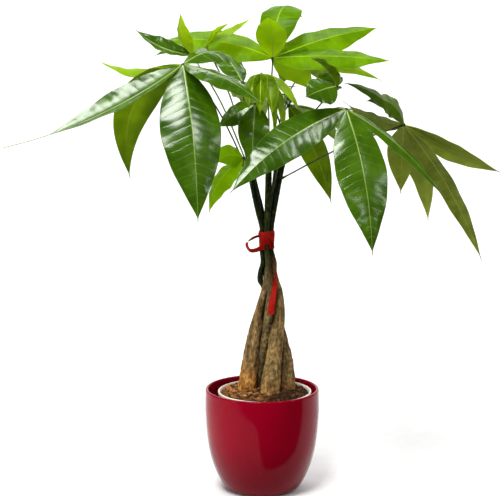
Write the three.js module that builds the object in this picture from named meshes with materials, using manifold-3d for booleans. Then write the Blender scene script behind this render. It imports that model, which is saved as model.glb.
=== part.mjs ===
// A money tree: five braided stems with palmate leaves, in a nursery pot inside a glazed pot.
// Millimetres, +Z up. The origin is the centre of the glazed pot's base, and -Y is the front.
import * as THREE from "three";
import { mergeVertices } from "three/addons/utils/BufferGeometryUtils.js";
import Module from "manifold-3d";

const wasm = await Module();
wasm.setup();

// Clearance between pieces that touch
const GAP = 0.3;

// Glazed pot: height, rim and foot radius, wall and floor
const POT_HEIGHT = 156;
const POT_RIM_RADIUS = 86;
const POT_FOOT_RADIUS = 51;
const POT_WALL = 4.5;
const POT_FLOOR = 8;
const POT_SEGMENTS = 36;

// Nursery pot: it stands on the glazed pot's floor, a little to the front and right
const NURSERY_RIM_RADIUS = 70.8;
const NURSERY_FOOT_RADIUS = 45;
const NURSERY_TOP = 153;
const NURSERY_WALL = 1.6;
const NURSERY_RIM_WIDTH = 2.6;
const NURSERY_RIM_DEPTH = 6;
const NURSERY_SHIFT = [4, -3];
const NURSERY_SEGMENTS = 30;
const DRAIN_HOLES = 6;
const DRAIN_HOLE_RADIUS = 5;
const DRAIN_RING_RADIUS = 30;

// Soil: height at the nursery pot's wall and rise towards the stems
const SOIL_EDGE = 150.5;
const SOIL_RISE = 8;
const SOIL_RELIEF = 1.3;
const SOIL_RINGS = 5;
const SOIL_SPOKES = 30;
const SOIL_SEED = 11;

// Braided stems. A stem's course is a list of points: height, x, y and radius.
const STEM_SIDES = 8;
const STEMS = [
  {
    name: "stem_1",
    course: [
      [84, -20, -3, 9], [104, -22, -3, 13.6], [154, -22.5, -3, 14.4], [213, -16, -3, 11.3],
      [250, -9.5, -3, 9.3], [279, -4.4, -5, 5.9], [308, 3.4, -3.4, 4.7], [320, 6.2, -0.4, 4.1],
      [335, 5, 6.5, 4.2], [350, 4.8, 6.7, 4.1], [368, 2.5, 5.8, 4], [400, 2.5, 5.8, 4],
      [424, -1, 8, 4.8], [474, -13, 14, 4.6], [514, -18, 18, 3.8],
    ],
  },
  {
    name: "stem_2",
    course: [
      [84, 10, -20, 9], [104, 11, -23, 14.2], [154, 11.7, -24, 15.3], [213, 18, -16, 11.8],
      [250, 22.6, -9, 10.2], [279, 25.5, -4, 8.3], [308, 24.5, -1.5, 5.6], [320, 21, -0.5, 5],
      [335, 17.5, 0.5, 4.6], [350, 17.5, -0.5, 4.4], [368, 13.5, -2.2, 4], [400, 13.5, -2.2, 4],
      [424, 16, -3, 5], [474, 24.5, -1, 5.2], [520, 35, 2, 4],
    ],
  },
  {
    name: "stem_3",
    course: [
      [84, 35, 3, 8], [104, 37, 3, 12.2], [154, 37.5, 3, 13.2], [199, 34.5, 7, 12],
      [225, 29.5, 11, 10.4], [250, 24, 14, 9], [279, 19, 13, 6.8], [308, 17, 10, 5.2],
      [335, 13.5, 9.5, 4.3], [350, 13.5, 8.5, 4.2], [368, 10.9, 5.8, 4], [400, 10.9, 5.8, 4],
      [424, 13, 9, 4.8], [474, 20, 17, 4.6], [530, 24, 26, 3.8],
    ],
  },
  {
    name: "stem_4",
    course: [
      [84, -2, 6, 4.5], [104, -2, 6, 5.8], [154, -2, 6, 6.2], [186, -0.5, 1, 5.8],
      [213, 1.8, -7, 5.2], [250, 6.3, -12.4, 5.8], [279, 10, -13.4, 6], [308, 12.7, -10.4, 5.5],
      [335, 8.8, -7.8, 5], [350, 9.3, -8.3, 4.6], [368, 6.7, -7.2, 4], [400, 6.7, -7.2, 4],
      [424, 8, -9, 5], [474, 9, -12, 5], [540, 10, -16, 3.6],
    ],
  },
  {
    name: "stem_5",
    course: [
      [84, 8, 22, 9], [104, 8, 24.5, 13], [154, 8, 25, 14], [213, 6, 19, 11],
      [250, 3.5, 14, 8.3], [279, 4, 9, 6], [308, 3.4, 7, 4.2], [320, -2.6, 5.2, 3.9],
      [335, -2.3, -1.2, 4], [350, 1.2, -2.6, 3.9], [368, -0.1, -2.2, 4], [400, -0.1, -2.2, 4],
      [424, -5, -3, 4.9], [474, -15.5, -6, 4.9], [506, -23, -8, 3.8],
    ],
  },
];

// Ribbon round the stems
const RIBBON_WIDTH = 12;
const RIBBON_THICKNESS = 0.9;
const BAND_LOW = 369;
const BAND_HIGH = 398;
const BAND_RADIUS = 12.2;
const BAND_X = 6.5;

// Leaf blades
const BLADE_THICKNESS = 0.8;
const STALK_RADIUS = 1.3;
const STALK_SIDES = 6;
const STALK_STEPS = 7;
const HUB_RADIUS = 3.4;
const BLADE_ROOT_WIDTH = 3;
const BLADE_TIP_WIDTH = 1.6;
const EDGE_WAVE = 1.2;
const DRIP_TIP = 0.02;
const BLADE_STATIONS = [0, 0.1, 0.24, 0.4, 0.58, 0.76, 0.9, 1];
const SMALL_BLADE_STATIONS = [0, 0.14, 0.38, 0.64, 0.87, 1];
const SMALL_BLADE_WIDTH = 48;
// A leaflet is widest two fifths of the way along and ends in a long drip tip
const ROOT_POWER = 0.85;
const TIP_POWER = 1.15;

const COLOURS = {
  glaze: { color: 0x8c0a1e, roughness: 0.12, metalness: 0 },
  nursery: { color: 0xe9e2d2, roughness: 0.5, metalness: 0 },
  soil: { color: 0x5a3d26, roughness: 0.95, metalness: 0 },
  bark: { color: 0x7a6440, roughness: 0.85, metalness: 0 },
  leaf: { color: 0x3d7a12, roughness: 0.35, metalness: 0 },
  young: { color: 0x8fc21a, roughness: 0.45, metalness: 0 },
  ribbon: { color: 0xc41a14, roughness: 0.4, metalness: 0 },
};

// The leaves. stem and height: where the stalk leaves the braid. via: points that the stalk passes.
// hub: where the leaflets meet. fold: how far the halves of a blade droop, in degrees.
// Each leaflet: x, y, z of its tip from the hub, width, rise of its middle, roll in degrees, and where they
// differ from the leaf's, its own fold and the share of its length that is a thin drip tip.
const LEAVES = [
  {
    name: "leaf_01", stem: 5, height: 478, via: [[-68, -26, 585]], hub: [-114, -70, 649], fold: 14,
    leaflets: [
      [-254, -50, -114, 45, -15, -30, -25, 0.23],
      [-80, 40, -170, 54, 43, 62],
      [23, -90, -215, 88, 20, 0],
      [113, -60, -52, 50, 10, 12],
      [92, 50, -18, 50, 26, 20],
      [-129, 70, 2, 40, -13, 30],
    ],
  },
  {
    name: "leaf_02", stem: 5, height: 490, via: [[-62, 6, 590]], hub: [-103, -16, 660], fold: -20,
    young: true,
    leaflets: [
      [-82, -6, 37, 33, -8, -36],
      [-56, 30, -3, 26, 4, 0],
      [-15, -14, 62, 30, -10, 0],
    ],
  },
  {
    name: "leaf_03", stem: 5, height: 498, via: [[-48, -10, 600]], hub: [-82, -14, 672], fold: -24,
    young: true,
    leaflets: [
      [33, -8, 34, 22, 2, 20],
      [64, 12, 40, 24, -4, 20],
    ],
  },
  {
    name: "leaf_04", stem: 5, height: 466, via: [[-28, -24, 493]], hub: [-28, -34, 510], fold: 12,
    leaflets: [
      [-50, -16, -78, 46, 12, -20],
      [-40, -20, -4, 40, 8, -54],
      [-38, 56, -66, 34, 8, 0],
    ],
  },
  {
    name: "leaf_05", stem: 4, height: 443, via: [[17, -17, 470], [28, -30, 545], [14, -20, 600]],
    hub: [15, 0, 654], fold: 12,
    leaflets: [
      [-172, 30, 21, 62, 14, -38],
      [47, 100, 54, 62, 49, 4],
      [-8, -56, 62, 46, 16, 0],
      [160, 60, 42, 62, 6, 34],
      [173, -40, -2, 60, 5, 28],
      [166, 60, -38, 44, 12, -23],
      [60, 60, -54, 42, 10, -40],
    ],
  },
  {
    name: "leaf_06", stem: 4, height: 528, via: [[8, -24, 590]], hub: [-2, -48, 634], fold: -40,
    young: true,
    leaflets: [
      [-18, -26, -48, 18, 8, 0],
      [-2, -34, -56, 22, 10, 0],
      [15, -34, -58, 24, 10, 0],
      [56, -22, -53, 18, 4, 20],
      [31, -14, -88, 18, 8, 20],
      [18, -14, -93, 15, 6, 0],
    ],
  },
  {
    name: "leaf_07", stem: 4, height: 512, via: [[-2, -36, 560]], hub: [-10, -40, 590], fold: 12,
    leaflets: [
      [-5, -44, -88, 46, 12, 0],
      [-55, -8, -33, 40, 3, -44],
    ],
  },
  {
    name: "leaf_08", stem: 2, height: 506, via: [[60, -36, 560]], hub: [107, -50, 617], fold: 10,
    leaflets: [
      [-37, -22, 41, 28, 6, -16, -34],
      [-47, -50, -12, 48, 2, -46],
      [-10, 44, -18, 26, 6, 0],
      [-19, 60, 13, 36, 8, 0],
    ],
  },
  {
    name: "leaf_09", stem: 2, height: 498, via: [[76, -30, 545]], hub: [121, -48, 583], fold: 12,
    leaflets: [
      [35, -80, -201, 77, 18, 8],
      [-168, -96, -110, 58, 15, -50],
      [150, 24, -136, 28, 12, 34],
      [-30, 90, -40, 46, 16, 0],
      [40, 104, -88, 44, 18, 0],
    ],
  },
  {
    name: "leaf_10", stem: 2, height: 474, via: [[120, 10, 522]], hub: [211, 20, 554], fold: 12,
    leaflets: [
      [-92, -20, 64, 30, 13, -36],
      [-90, 20, 34, 42, -8, 40, 12, 0.1],
      [2, 60, -112, 46, 14, 0],
      [48, 90, -161, 44, 22, 0],
      [129, 60, -217, 36, 12, -30],
      [154, 50, -78, 32, -4, -56],
      [-58, -12, 36, 46, 17, -40],
    ],
  },
  {
    name: "leaf_11", stem: 3, height: 512, via: [[28, 50, 560]], hub: [40, 62, 580], fold: 12,
    leaflets: [
      [67, 26, -154, 42, 8, -64],
      [-24, 50, 10, 36, 10, 0],
      [82, 100, -72, 50, 16, 0],
      [94, 58, -58, 46, 16, 0],
    ],
  },
  {
    name: "leaf_12", stem: 1, height: 500, via: [[-26, 70, 566]], hub: [-30, 120, 610], fold: 12,
    leaflets: [
      [-48, 90, 62, 46, 4, 0],
      [34, 150, -80, 46, 10, 0],
      [46, 110, -40, 46, 10, 0],
      [88, 60, -12, 40, 0, 0],
      [8, 120, -40, 44, 0, 0],
    ],
  },
  {
    name: "leaf_13", stem: 3, height: 522, via: [[40, 46, 598]], hub: [72, 130, 632], fold: 12,
    leaflets: [
      [-40, 130, -40, 54, 24, 0],
      [34, 150, -46, 58, 26, 0],
      [84, 110, 8, 52, 16, 0],
      [-56, 56, 34, 44, 10, 0],
      [42, 84, 42, 46, 10, 0],
    ],
  },
];

const toRadians = THREE.MathUtils.degToRad;

// Joining and cutting

function solidOf(geometry) {
  const bare = new THREE.BufferGeometry();
  bare.setAttribute("position", geometry.getAttribute("position"));
  bare.setIndex(geometry.getIndex());
  const merged = mergeVertices(bare, 1e-4);
  return new wasm.Manifold(new wasm.Mesh({
    numProp: 3,
    vertProperties: new Float32Array(merged.getAttribute("position").array),
    triVerts: new Uint32Array(merged.getIndex().array),
  }));
}

function geometryOf(solid) {
  const mesh = solid.getMesh();
  const geometry = new THREE.BufferGeometry();
  geometry.setAttribute("position", new THREE.BufferAttribute(mesh.vertProperties, 3));
  geometry.setIndex(new THREE.BufferAttribute(mesh.triVerts, 1));
  geometry.computeVertexNormals();
  return geometry;
}

function joined(geometries) {
  return geometries.map(solidOf).reduce((whole, next) => whole.add(next));
}

function meshOf(name, geometry, finish) {
  const mesh = new THREE.Mesh(geometry, new THREE.MeshStandardMaterial(COLOURS[finish]));
  mesh.name = name;
  return mesh;
}

// A closed mesh from rings with the same even number of points, each a list of [x, y, z].
// turned says on which sides the quads are split along their other diagonal.
function loft(rings, turned = () => false) {
  const sides = rings[0].length;
  const faces = [];
  for (let i = 0; i + 1 < rings.length; i++) {
    for (let j = 0; j < sides; j++) {
      const a = i * sides + j;
      const b = i * sides + ((j + 1) % sides);
      if (turned(j)) {
        faces.push(a, b, a + sides, b, b + sides, a + sides);
      } else {
        faces.push(a, b, b + sides, a, b + sides, a + sides);
      }
    }
  }
  const last = (rings.length - 1) * sides;
  for (let k = 0; k < sides / 2 - 1; k++) {
    const [a, b, c, d] = [k, k + 1, sides - 2 - k, sides - 1 - k];
    faces.push(a, c, b, a, d, c);
    faces.push(last + a, last + b, last + c, last + a, last + c, last + d);
  }
  const geometry = new THREE.BufferGeometry();
  geometry.setAttribute("position", new THREE.Float32BufferAttribute(rings.flat(2), 3));
  geometry.setIndex(faces);
  geometry.computeVertexNormals();
  return geometry;
}

function lathe(profile, segments) {
  const turned = new THREE.LatheGeometry(profile.map(([r, z]) => new THREE.Vector2(r, z)), segments);
  turned.rotateX(Math.PI / 2);
  return turned;
}

// Glazed pot

function potOutline() {
  const swell = new THREE.SplineCurve([
    new THREE.Vector2(POT_FOOT_RADIUS, 0),
    new THREE.Vector2(59, 7),
    new THREE.Vector2(68, 23),
    new THREE.Vector2(76.8, 47),
    new THREE.Vector2(82.7, 76),
    new THREE.Vector2(86.3, 120),
    new THREE.Vector2(POT_RIM_RADIUS, POT_HEIGHT - POT_WALL / 2),
  ]);
  const outside = swell.getPoints(7).map((p) => [p.x, p.y]);
  const lipMiddle = POT_RIM_RADIUS - POT_WALL / 2;
  const lip = [45, 90, 135].map((angle) => [
    lipMiddle + (POT_WALL / 2) * Math.cos(toRadians(angle)),
    POT_HEIGHT - POT_WALL / 2 + (POT_WALL / 2) * Math.sin(toRadians(angle)),
  ]);
  const inside = [
    [POT_RIM_RADIUS - POT_WALL, POT_HEIGHT - POT_WALL / 2],
    [81.8, 120],
    [78.2, 77],
    [71.8, 48],
    [62.5, 25],
    [52, POT_FLOOR + 1.5],
    [48, POT_FLOOR],
    [0, POT_FLOOR],
  ];
  return [[0, 0], ...outside, ...lip, ...inside];
}

function makePot() {
  return meshOf("pot", lathe(potOutline(), POT_SEGMENTS), "glaze");
}

// Nursery pot and soil

const nurseryFloor = POT_FLOOR + GAP;
const nurseryWallTop = NURSERY_TOP - NURSERY_RIM_DEPTH;
const nurseryShoulder = NURSERY_RIM_RADIUS - NURSERY_RIM_WIDTH + 0.4;
const nurseryInside = nurseryShoulder - NURSERY_WALL;

function makeNurseryPot() {
  const profile = [
    [0, nurseryFloor],
    [NURSERY_FOOT_RADIUS - 2, nurseryFloor],
    [NURSERY_FOOT_RADIUS, nurseryFloor + 2],
    [nurseryShoulder, nurseryWallTop],
    [NURSERY_RIM_RADIUS, nurseryWallTop + 0.8],
    [NURSERY_RIM_RADIUS, NURSERY_TOP - 0.8],
    [NURSERY_RIM_RADIUS - NURSERY_RIM_WIDTH / 2, NURSERY_TOP],
    [NURSERY_RIM_RADIUS - NURSERY_RIM_WIDTH, NURSERY_TOP - 0.8],
    [nurseryInside, nurseryWallTop],
    [NURSERY_FOOT_RADIUS - NURSERY_WALL, nurseryFloor + 2 + NURSERY_WALL],
    [NURSERY_FOOT_RADIUS - 4, nurseryFloor + NURSERY_WALL],
    [0, nurseryFloor + NURSERY_WALL],
  ];
  const drill = new THREE.CylinderGeometry(DRAIN_HOLE_RADIUS, DRAIN_HOLE_RADIUS, 6, 8);
  drill.rotateX(Math.PI / 2);
  let body = solidOf(lathe(profile, NURSERY_SEGMENTS));
  for (let i = 0; i < DRAIN_HOLES; i++) {
    const angle = toRadians((360 / DRAIN_HOLES) * i);
    const hole = drill.clone();
    const [x, y] = [DRAIN_RING_RADIUS * Math.cos(angle), DRAIN_RING_RADIUS * Math.sin(angle)];
    hole.translate(x, y, nurseryFloor + 1);
    body = body.subtract(solidOf(hole));
  }
  const mesh = meshOf("inner_pot", geometryOf(body), "nursery");
  mesh.position.set(NURSERY_SHIFT[0], NURSERY_SHIFT[1], 0);
  return mesh;
}

function seededRandom(seed) {
  let state = seed;
  return () => {
    state = (state * 1664525 + 1013904223) % 4294967296;
    return state / 4294967296;
  };
}

// Outer radius of the soil at a height, against the tapered wall
function soilRadius(height) {
  const low = nurseryFloor + 2 + NURSERY_WALL;
  const share = (height - low) / (nurseryWallTop - low);
  const foot = NURSERY_FOOT_RADIUS - NURSERY_WALL;
  return foot + share * (nurseryInside - foot) - 2 * GAP;
}

function makeSoil(stemHoles) {
  const random = seededRandom(SOIL_SEED);
  const bottom = nurseryFloor + 2 + NURSERY_WALL + GAP;
  const ring = (radius, heightAt) => Array.from({ length: SOIL_SPOKES }, (_, k) => {
    const angle = toRadians((360 / SOIL_SPOKES) * k);
    return [
      NURSERY_SHIFT[0] + radius * Math.cos(angle),
      NURSERY_SHIFT[1] + radius * Math.sin(angle),
      heightAt(),
    ];
  });
  const rings = [ring(0.5, () => bottom), ring(soilRadius(bottom), () => bottom)];
  rings.push(ring(soilRadius(nurseryWallTop), () => nurseryWallTop));
  for (let i = 0; i < SOIL_RINGS; i++) {
    const share = 1 - i / SOIL_RINGS;
    const level = SOIL_EDGE + SOIL_RISE * (1 - share * share);
    rings.push(ring(soilRadius(nurseryWallTop) * share, () => level + SOIL_RELIEF * (2 * random() - 1)));
  }
  rings.push(ring(0.5, () => SOIL_EDGE + SOIL_RISE));
  let body = solidOf(loft(rings));
  for (const hole of stemHoles) {
    body = body.subtract(hole);
  }
  return meshOf("soil", geometryOf(body), "soil");
}

// Braided stems

// A smooth value between the rows of a course, at a height
function courseAt(course, height, column) {
  const above = course.findIndex((row) => row[0] >= height);
  if (above <= 0) {
    return course[above < 0 ? course.length - 1 : 0][column];
  }
  const low = course[above - 1];
  const high = course[above];
  const before = course[Math.max(above - 2, 0)];
  const after = course[Math.min(above + 1, course.length - 1)];
  const span = high[0] - low[0];
  const share = (height - low[0]) / span;
  const lowSlope = ((high[column] - before[column]) / (high[0] - before[0])) * span;
  const highSlope = ((after[column] - low[column]) / (after[0] - low[0])) * span;
  const cube = share ** 3;
  const square = share ** 2;
  return (2 * cube - 3 * square + 1) * low[column] + (cube - 2 * square + share) * lowSlope
    + (3 * square - 2 * cube) * high[column] + (cube - square) * highSlope;
}

function stemRing(course, height, grown, share) {
  const x = courseAt(course, height, 1);
  const y = courseAt(course, height, 2);
  const radius = courseAt(course, height, 3) * share + grown;
  return Array.from({ length: STEM_SIDES }, (_, k) => {
    const angle = toRadians((360 / STEM_SIDES) * k);
    return [x + radius * Math.cos(angle), y + radius * Math.sin(angle), height];
  });
}

// One stem from its blunt foot in the soil to its rounded growing tip, grown by a clearance
function stemLoft({ course }, grown) {
  const foot = course[0][0];
  const top = course[course.length - 1][0];
  const heights = [foot, 104, 128, 154, 176, 199, 225, 250, 265, 279, 294, 308, 320, 335, 350, 368, 400];
  heights.push(424, 450, 474, top - 8);
  const rings = heights.map((height) => stemRing(course, height, grown, 1));
  rings[0].forEach((point) => { point[2] -= grown; });
  const tip = stemRing(course, top, grown, 0.4);
  tip.forEach((point) => { point[2] += grown; });
  return loft([...rings, tip]);
}

// Ribbon: a band round the stems with a gap at the front, a loop and a hanging tail

function strip(points, across, widths) {
  const path = new THREE.CatmullRomCurve3(points.map((p) => new THREE.Vector3(...p)));
  const steps = 2 * (points.length - 1);
  const rings = [];
  for (let i = 0; i <= steps; i++) {
    const share = i / steps;
    const middle = path.getPoint(share);
    const along = path.getTangent(share);
    const place = share * (across.length - 1);
    const low = Math.min(Math.floor(place), across.length - 2);
    const side = new THREE.Vector3(...across[low]).lerp(new THREE.Vector3(...across[low + 1]), place - low);
    side.addScaledVector(along, -side.dot(along)).normalize();
    const face = new THREE.Vector3().crossVectors(along, side);
    const half = (widths[low] + (widths[low + 1] - widths[low]) * (place - low)) / 2;
    rings.push([[-1, -1], [1, -1], [1, 1], [-1, 1]].map(([u, v]) => {
      const corner = middle.clone();
      corner.addScaledVector(side, u * half).addScaledVector(face, (v * RIBBON_THICKNESS) / 2);
      return corner.toArray();
    }));
  }
  return loft(rings);
}

function makeRibbon(stemHoles) {
  const inner = BAND_RADIUS;
  const outer = BAND_RADIUS + RIBBON_THICKNESS;
  const profile = [[inner, BAND_LOW], [outer, BAND_LOW], [outer + 0.4, (BAND_LOW + BAND_HIGH) / 2]];
  profile.push([outer, BAND_HIGH], [inner, BAND_HIGH], [inner, BAND_LOW]);
  const band = lathe(profile, 20);
  band.translate(BAND_X, 0, 0);
  const window = new THREE.BoxGeometry(7, 20, 16);
  window.translate(BAND_X + 1, -BAND_RADIUS - 4, BAND_LOW + 7);
  const loop = strip(
    [
      [-2, -9, 391], [-10, -12, 390], [-20, -13, 384], [-23, -13, 378],
      [-18, -14, 370], [-8, -15, 371], [2, -13, 377],
    ],
    [
      [0, -0.8, 0.6], [0, -0.9, 0.4], [0, -1, 0.1], [0.2, -1, 0.1],
      [0, -0.8, 0.6], [0, -0.5, 0.9], [0, -0.3, 1],
    ],
    [8, 7, 6, 6, 7, 8, 9],
  );
  const tail = strip(
    [[17.5, -5, 376], [19, -7, 356], [20.4, -9, 336], [18, -18, 312], [14.5, -25, 292], [12.5, -28, 276]],
    [[0, -1, 0], [0, -1, 0], [0.3, -1, 0], [0.9, -0.6, 0], [1, -0.3, 0], [1, -0.1, 0]],
    [6, 6, 6, 8, RIBBON_WIDTH - 2, RIBBON_WIDTH - 2],
  );
  const knot = new THREE.IcosahedronGeometry(4.2, 1);
  knot.scale(1, 0.5, 1.1);
  knot.translate(1.5, -13.2, 380);
  let body = solidOf(band).subtract(solidOf(window));
  body = body.add(joined([loop, tail, knot]));
  for (const hole of stemHoles) {
    body = body.subtract(hole);
  }
  return meshOf("ribbon", geometryOf(body), "ribbon");
}

// Leaves

function bladeShare(place, drip) {
  const t = Math.min(place / (1 - drip), 1);
  const widest = ROOT_POWER / (ROOT_POWER + TIP_POWER);
  const full = widest ** ROOT_POWER * (1 - widest) ** TIP_POWER;
  return (t ** ROOT_POWER * (1 - t) ** TIP_POWER) / full;
}

// One leaflet: an arched blade from the hub to its tip, its two halves drooping from the midrib
function makeBlade(hub, leaflet, fold) {
  const [dx, dy, dz, width, rise, roll, ownFold = fold, drip = DRIP_TIP] = leaflet;
  const root = new THREE.Vector3(...hub);
  const tip = root.clone().add(new THREE.Vector3(dx, dy, dz));
  const along = tip.clone().sub(root).normalize();
  const up = new THREE.Vector3(0, 0, 1).addScaledVector(along, -along.z).normalize();
  const crest = root.clone().lerp(tip, 0.5).addScaledVector(up, 2 * rise);
  const midrib = new THREE.QuadraticBezierCurve3(root, crest, tip);
  const level = new THREE.Vector3().crossVectors(along, up);
  const stations = width < SMALL_BLADE_WIDTH ? SMALL_BLADE_STATIONS : BLADE_STATIONS;
  const rings = stations.map((t, i) => {
    const middle = midrib.getPoint(t);
    const tangent = midrib.getTangent(t);
    const side = level.clone().applyAxisAngle(tangent, toRadians(roll));
    const normal = new THREE.Vector3().crossVectors(side, tangent).normalize();
    const least = t < 0.5 ? BLADE_ROOT_WIDTH : BLADE_TIP_WIDTH;
    const half = Math.max(least, width * bladeShare(t, drip)) / 2;
    const wave = Math.min(EDGE_WAVE, half / 8) * (i % 2 ? 1 : -1);
    const edge = wave - half * Math.tan(toRadians(ownFold));
    const point = (u, height) => middle.clone()
      .addScaledVector(side, u * half)
      .addScaledVector(normal, height)
      .toArray();
    return [
      point(-1, edge + BLADE_THICKNESS / 2),
      point(0, BLADE_THICKNESS / 2),
      point(1, edge + BLADE_THICKNESS / 2),
      point(1, edge - BLADE_THICKNESS / 2),
      point(0, -BLADE_THICKNESS / 2),
      point(-1, edge - BLADE_THICKNESS / 2),
    ];
  });
  return loft(rings, (j) => j === 3 || j === 4);
}

// The stalk runs from the middle of its stem past its via point to the hub
function makeStalk(leaf) {
  const stem = STEMS[leaf.stem - 1].course;
  const root = [courseAt(stem, leaf.height, 1), courseAt(stem, leaf.height, 2), leaf.height];
  const course = [root, ...leaf.via, leaf.hub].map((point) => new THREE.Vector3(...point));
  const path = new THREE.CatmullRomCurve3(course);
  const section = new THREE.Shape();
  section.absarc(0, 0, STALK_RADIUS, 0, 2 * Math.PI);
  return new THREE.ExtrudeGeometry(section, {
    extrudePath: path,
    steps: STALK_STEPS,
    curveSegments: STALK_SIDES / 2,
  });
}

function makeLeaf(leaf, stemHoles) {
  const hub = new THREE.OctahedronGeometry(HUB_RADIUS, 0);
  hub.translate(...leaf.hub);
  const blades = leaf.leaflets.map((leaflet) => makeBlade(leaf.hub, leaflet, leaf.fold));
  let body = joined([makeStalk(leaf), hub, ...blades]);
  for (const hole of stemHoles) {
    body = body.subtract(hole);
  }
  return meshOf(leaf.name, geometryOf(body), leaf.young ? "young" : "leaf");
}

const plant = new THREE.Group();
const stemHoles = STEMS.map((stem) => solidOf(stemLoft(stem, GAP)));

plant.add(makePot());
plant.add(makeNurseryPot());
plant.add(makeSoil(stemHoles));
STEMS.forEach((stem) => plant.add(meshOf(stem.name, stemLoft(stem, 0), "bark")));
plant.add(makeRibbon(stemHoles));
LEAVES.forEach((leaf) => plant.add(makeLeaf(leaf, stemHoles)));

export default plant;
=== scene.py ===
"""Looks for a potted money tree: glazed pot, nursery pot, soil, braided stems, ribbon and palmate leaves."""

import math

import bpy
import numpy as np
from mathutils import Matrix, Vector


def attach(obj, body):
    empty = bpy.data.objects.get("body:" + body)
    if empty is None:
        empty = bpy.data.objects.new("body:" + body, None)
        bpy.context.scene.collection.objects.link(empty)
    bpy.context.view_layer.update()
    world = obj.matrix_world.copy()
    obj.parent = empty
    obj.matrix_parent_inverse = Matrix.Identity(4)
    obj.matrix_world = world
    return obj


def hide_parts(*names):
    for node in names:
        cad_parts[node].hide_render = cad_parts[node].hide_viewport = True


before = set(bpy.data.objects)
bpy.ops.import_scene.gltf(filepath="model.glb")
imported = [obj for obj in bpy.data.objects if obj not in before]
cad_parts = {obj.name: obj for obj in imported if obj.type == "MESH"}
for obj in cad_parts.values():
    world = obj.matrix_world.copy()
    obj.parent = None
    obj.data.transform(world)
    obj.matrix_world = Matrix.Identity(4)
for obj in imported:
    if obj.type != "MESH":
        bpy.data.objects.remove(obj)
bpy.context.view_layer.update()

# Lengths of the object are in millimetres, and this makes them metres
MM = 0.001


# Meshes


def mesh_piece(name, points, faces, materials, slots=None, numbers=None, smooth=True):
    """A mesh object from points in millimetres, with a material number per face and values per point."""
    mesh = bpy.data.meshes.new(name)
    mesh.from_pydata((np.asarray(points, float) * MM).tolist(), [], [list(map(int, f)) for f in faces])
    for material in materials:
        mesh.materials.append(material)
    if slots is not None:
        mesh.polygons.foreach_set("material_index", np.asarray(slots, np.int32))
    mesh.polygons.foreach_set("use_smooth", [smooth] * len(mesh.polygons))
    for key, values in (numbers or {}).items():
        layer = mesh.attributes.new(key, "FLOAT", "POINT")
        layer.data.foreach_set("value", np.asarray(values, np.float32))
    mesh.update()
    piece = bpy.data.objects.new(name, mesh)
    bpy.context.scene.collection.objects.link(piece)
    return piece


def round_angles(count):
    """Angles evenly round a full turn."""
    return np.linspace(0, 2 * math.pi, count, endpoint=False)


def ring_faces(rings, sides, first=0, closed_ends=True):
    """Quads between rings of the same number of points, with a many-sided face on each end."""
    faces = []
    for i in range(rings - 1):
        for j in range(sides):
            a = first + i * sides + j
            b = first + i * sides + (j + 1) % sides
            faces.append([a, b, b + sides, a + sides])
    if closed_ends:
        faces.append([first + k for k in reversed(range(sides))])
        faces.append([first + (rings - 1) * sides + k for k in range(sides)])
    return faces


def shifted_faces(faces, first):
    """The same faces on points that come later in a list."""
    return [[first + i for i in face] for face in faces]


def lathe_piece(name, profile, segments, material):
    """A turned shape from (radius, height) points that start and end on the axis."""
    middle = [p for p in profile if p[0] > 1e-6]
    angles = round_angles(segments)
    points = [(r * math.cos(a), r * math.sin(a), height) for r, height in middle for a in angles]
    faces = ring_faces(len(middle), segments, closed_ends=False)
    points.append((0, 0, profile[0][1]))
    points.append((0, 0, profile[-1][1]))
    low, high = len(points) - 2, len(points) - 1
    last = (len(middle) - 1) * segments
    for k in range(segments):
        after = (k + 1) % segments
        faces.append([low, after, k])
        faces.append([high, last + k, last + after])
    return mesh_piece(name, points, faces, [material])


def unit(vector):
    """A vector of length one in the same direction."""
    return vector / max(np.linalg.norm(vector), 1e-9)


def turned(vector, axis, angle):
    """A vector turned about a unit axis."""
    cosine, sine = math.cos(angle), math.sin(angle)
    return vector * cosine + np.cross(axis, vector) * sine + axis * np.dot(axis, vector) * (1 - cosine)


def eased(share, start, end, start_slope, end_slope):
    """A value between two others, on a smooth curve with the given slopes at its ends."""
    cube, square = share ** 3, share ** 2
    return ((2 * cube - 3 * square + 1) * start + (cube - 2 * square + share) * start_slope
            + (3 * square - 2 * cube) * end + (cube - square) * end_slope)


def smooth_path(points, count):
    """Evenly numbered points on a smooth curve, with knots by the root of the distance between its points."""
    points = [np.array(p, float) for p in points]
    ends = [2 * points[0] - points[1], *points, 2 * points[-1] - points[-2]]
    out = []
    for k in range(count):
        place = (len(points) - 1) * k / (count - 1)
        part = min(int(place), len(points) - 2)
        p0, p1, p2, p3 = ends[part:part + 4]
        d0, d1, d2 = (max(np.linalg.norm(b - a) ** 0.5, 1e-4) for a, b in ((p0, p1), (p1, p2), (p2, p3)))
        low = ((p1 - p0) / d0 - (p2 - p0) / (d0 + d1) + (p2 - p1) / d1) * d1
        high = ((p2 - p1) / d1 - (p3 - p1) / (d1 + d2) + (p3 - p2) / d2) * d1
        out.append(eased(place - part, p1, p2, low, high))
    return np.array(out)


def directions(path):
    """The unit direction of a path at each of its points."""
    along = np.gradient(path, axis=0)
    return along / np.linalg.norm(along, axis=1)[:, None]


def run_lengths(path):
    """How far along a path each of its points lies."""
    steps = np.linalg.norm(np.diff(path, axis=0), axis=1)
    return np.concatenate([[0], np.cumsum(steps)])


def carried_frames(path, start_side):
    """The direction along a path and a side direction that turns with it as little as possible."""
    along = directions(path)
    sides = []
    side = np.array(start_side, float)
    for direction in along:
        side = unit(side - direction * np.dot(side, direction))
        sides.append(side)
    return along, np.array(sides)


def tube_rings(path, radii, sides, start_side):
    """Rings of points round a path."""
    along, side = carried_frames(path, start_side)
    other = np.cross(along, side)
    rings = []
    for k, centre in enumerate(path):
        for angle in round_angles(sides):
            rings.append(centre + radii[k] * (math.cos(angle) * side[k] + math.sin(angle) * other[k]))
    return rings


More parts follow.
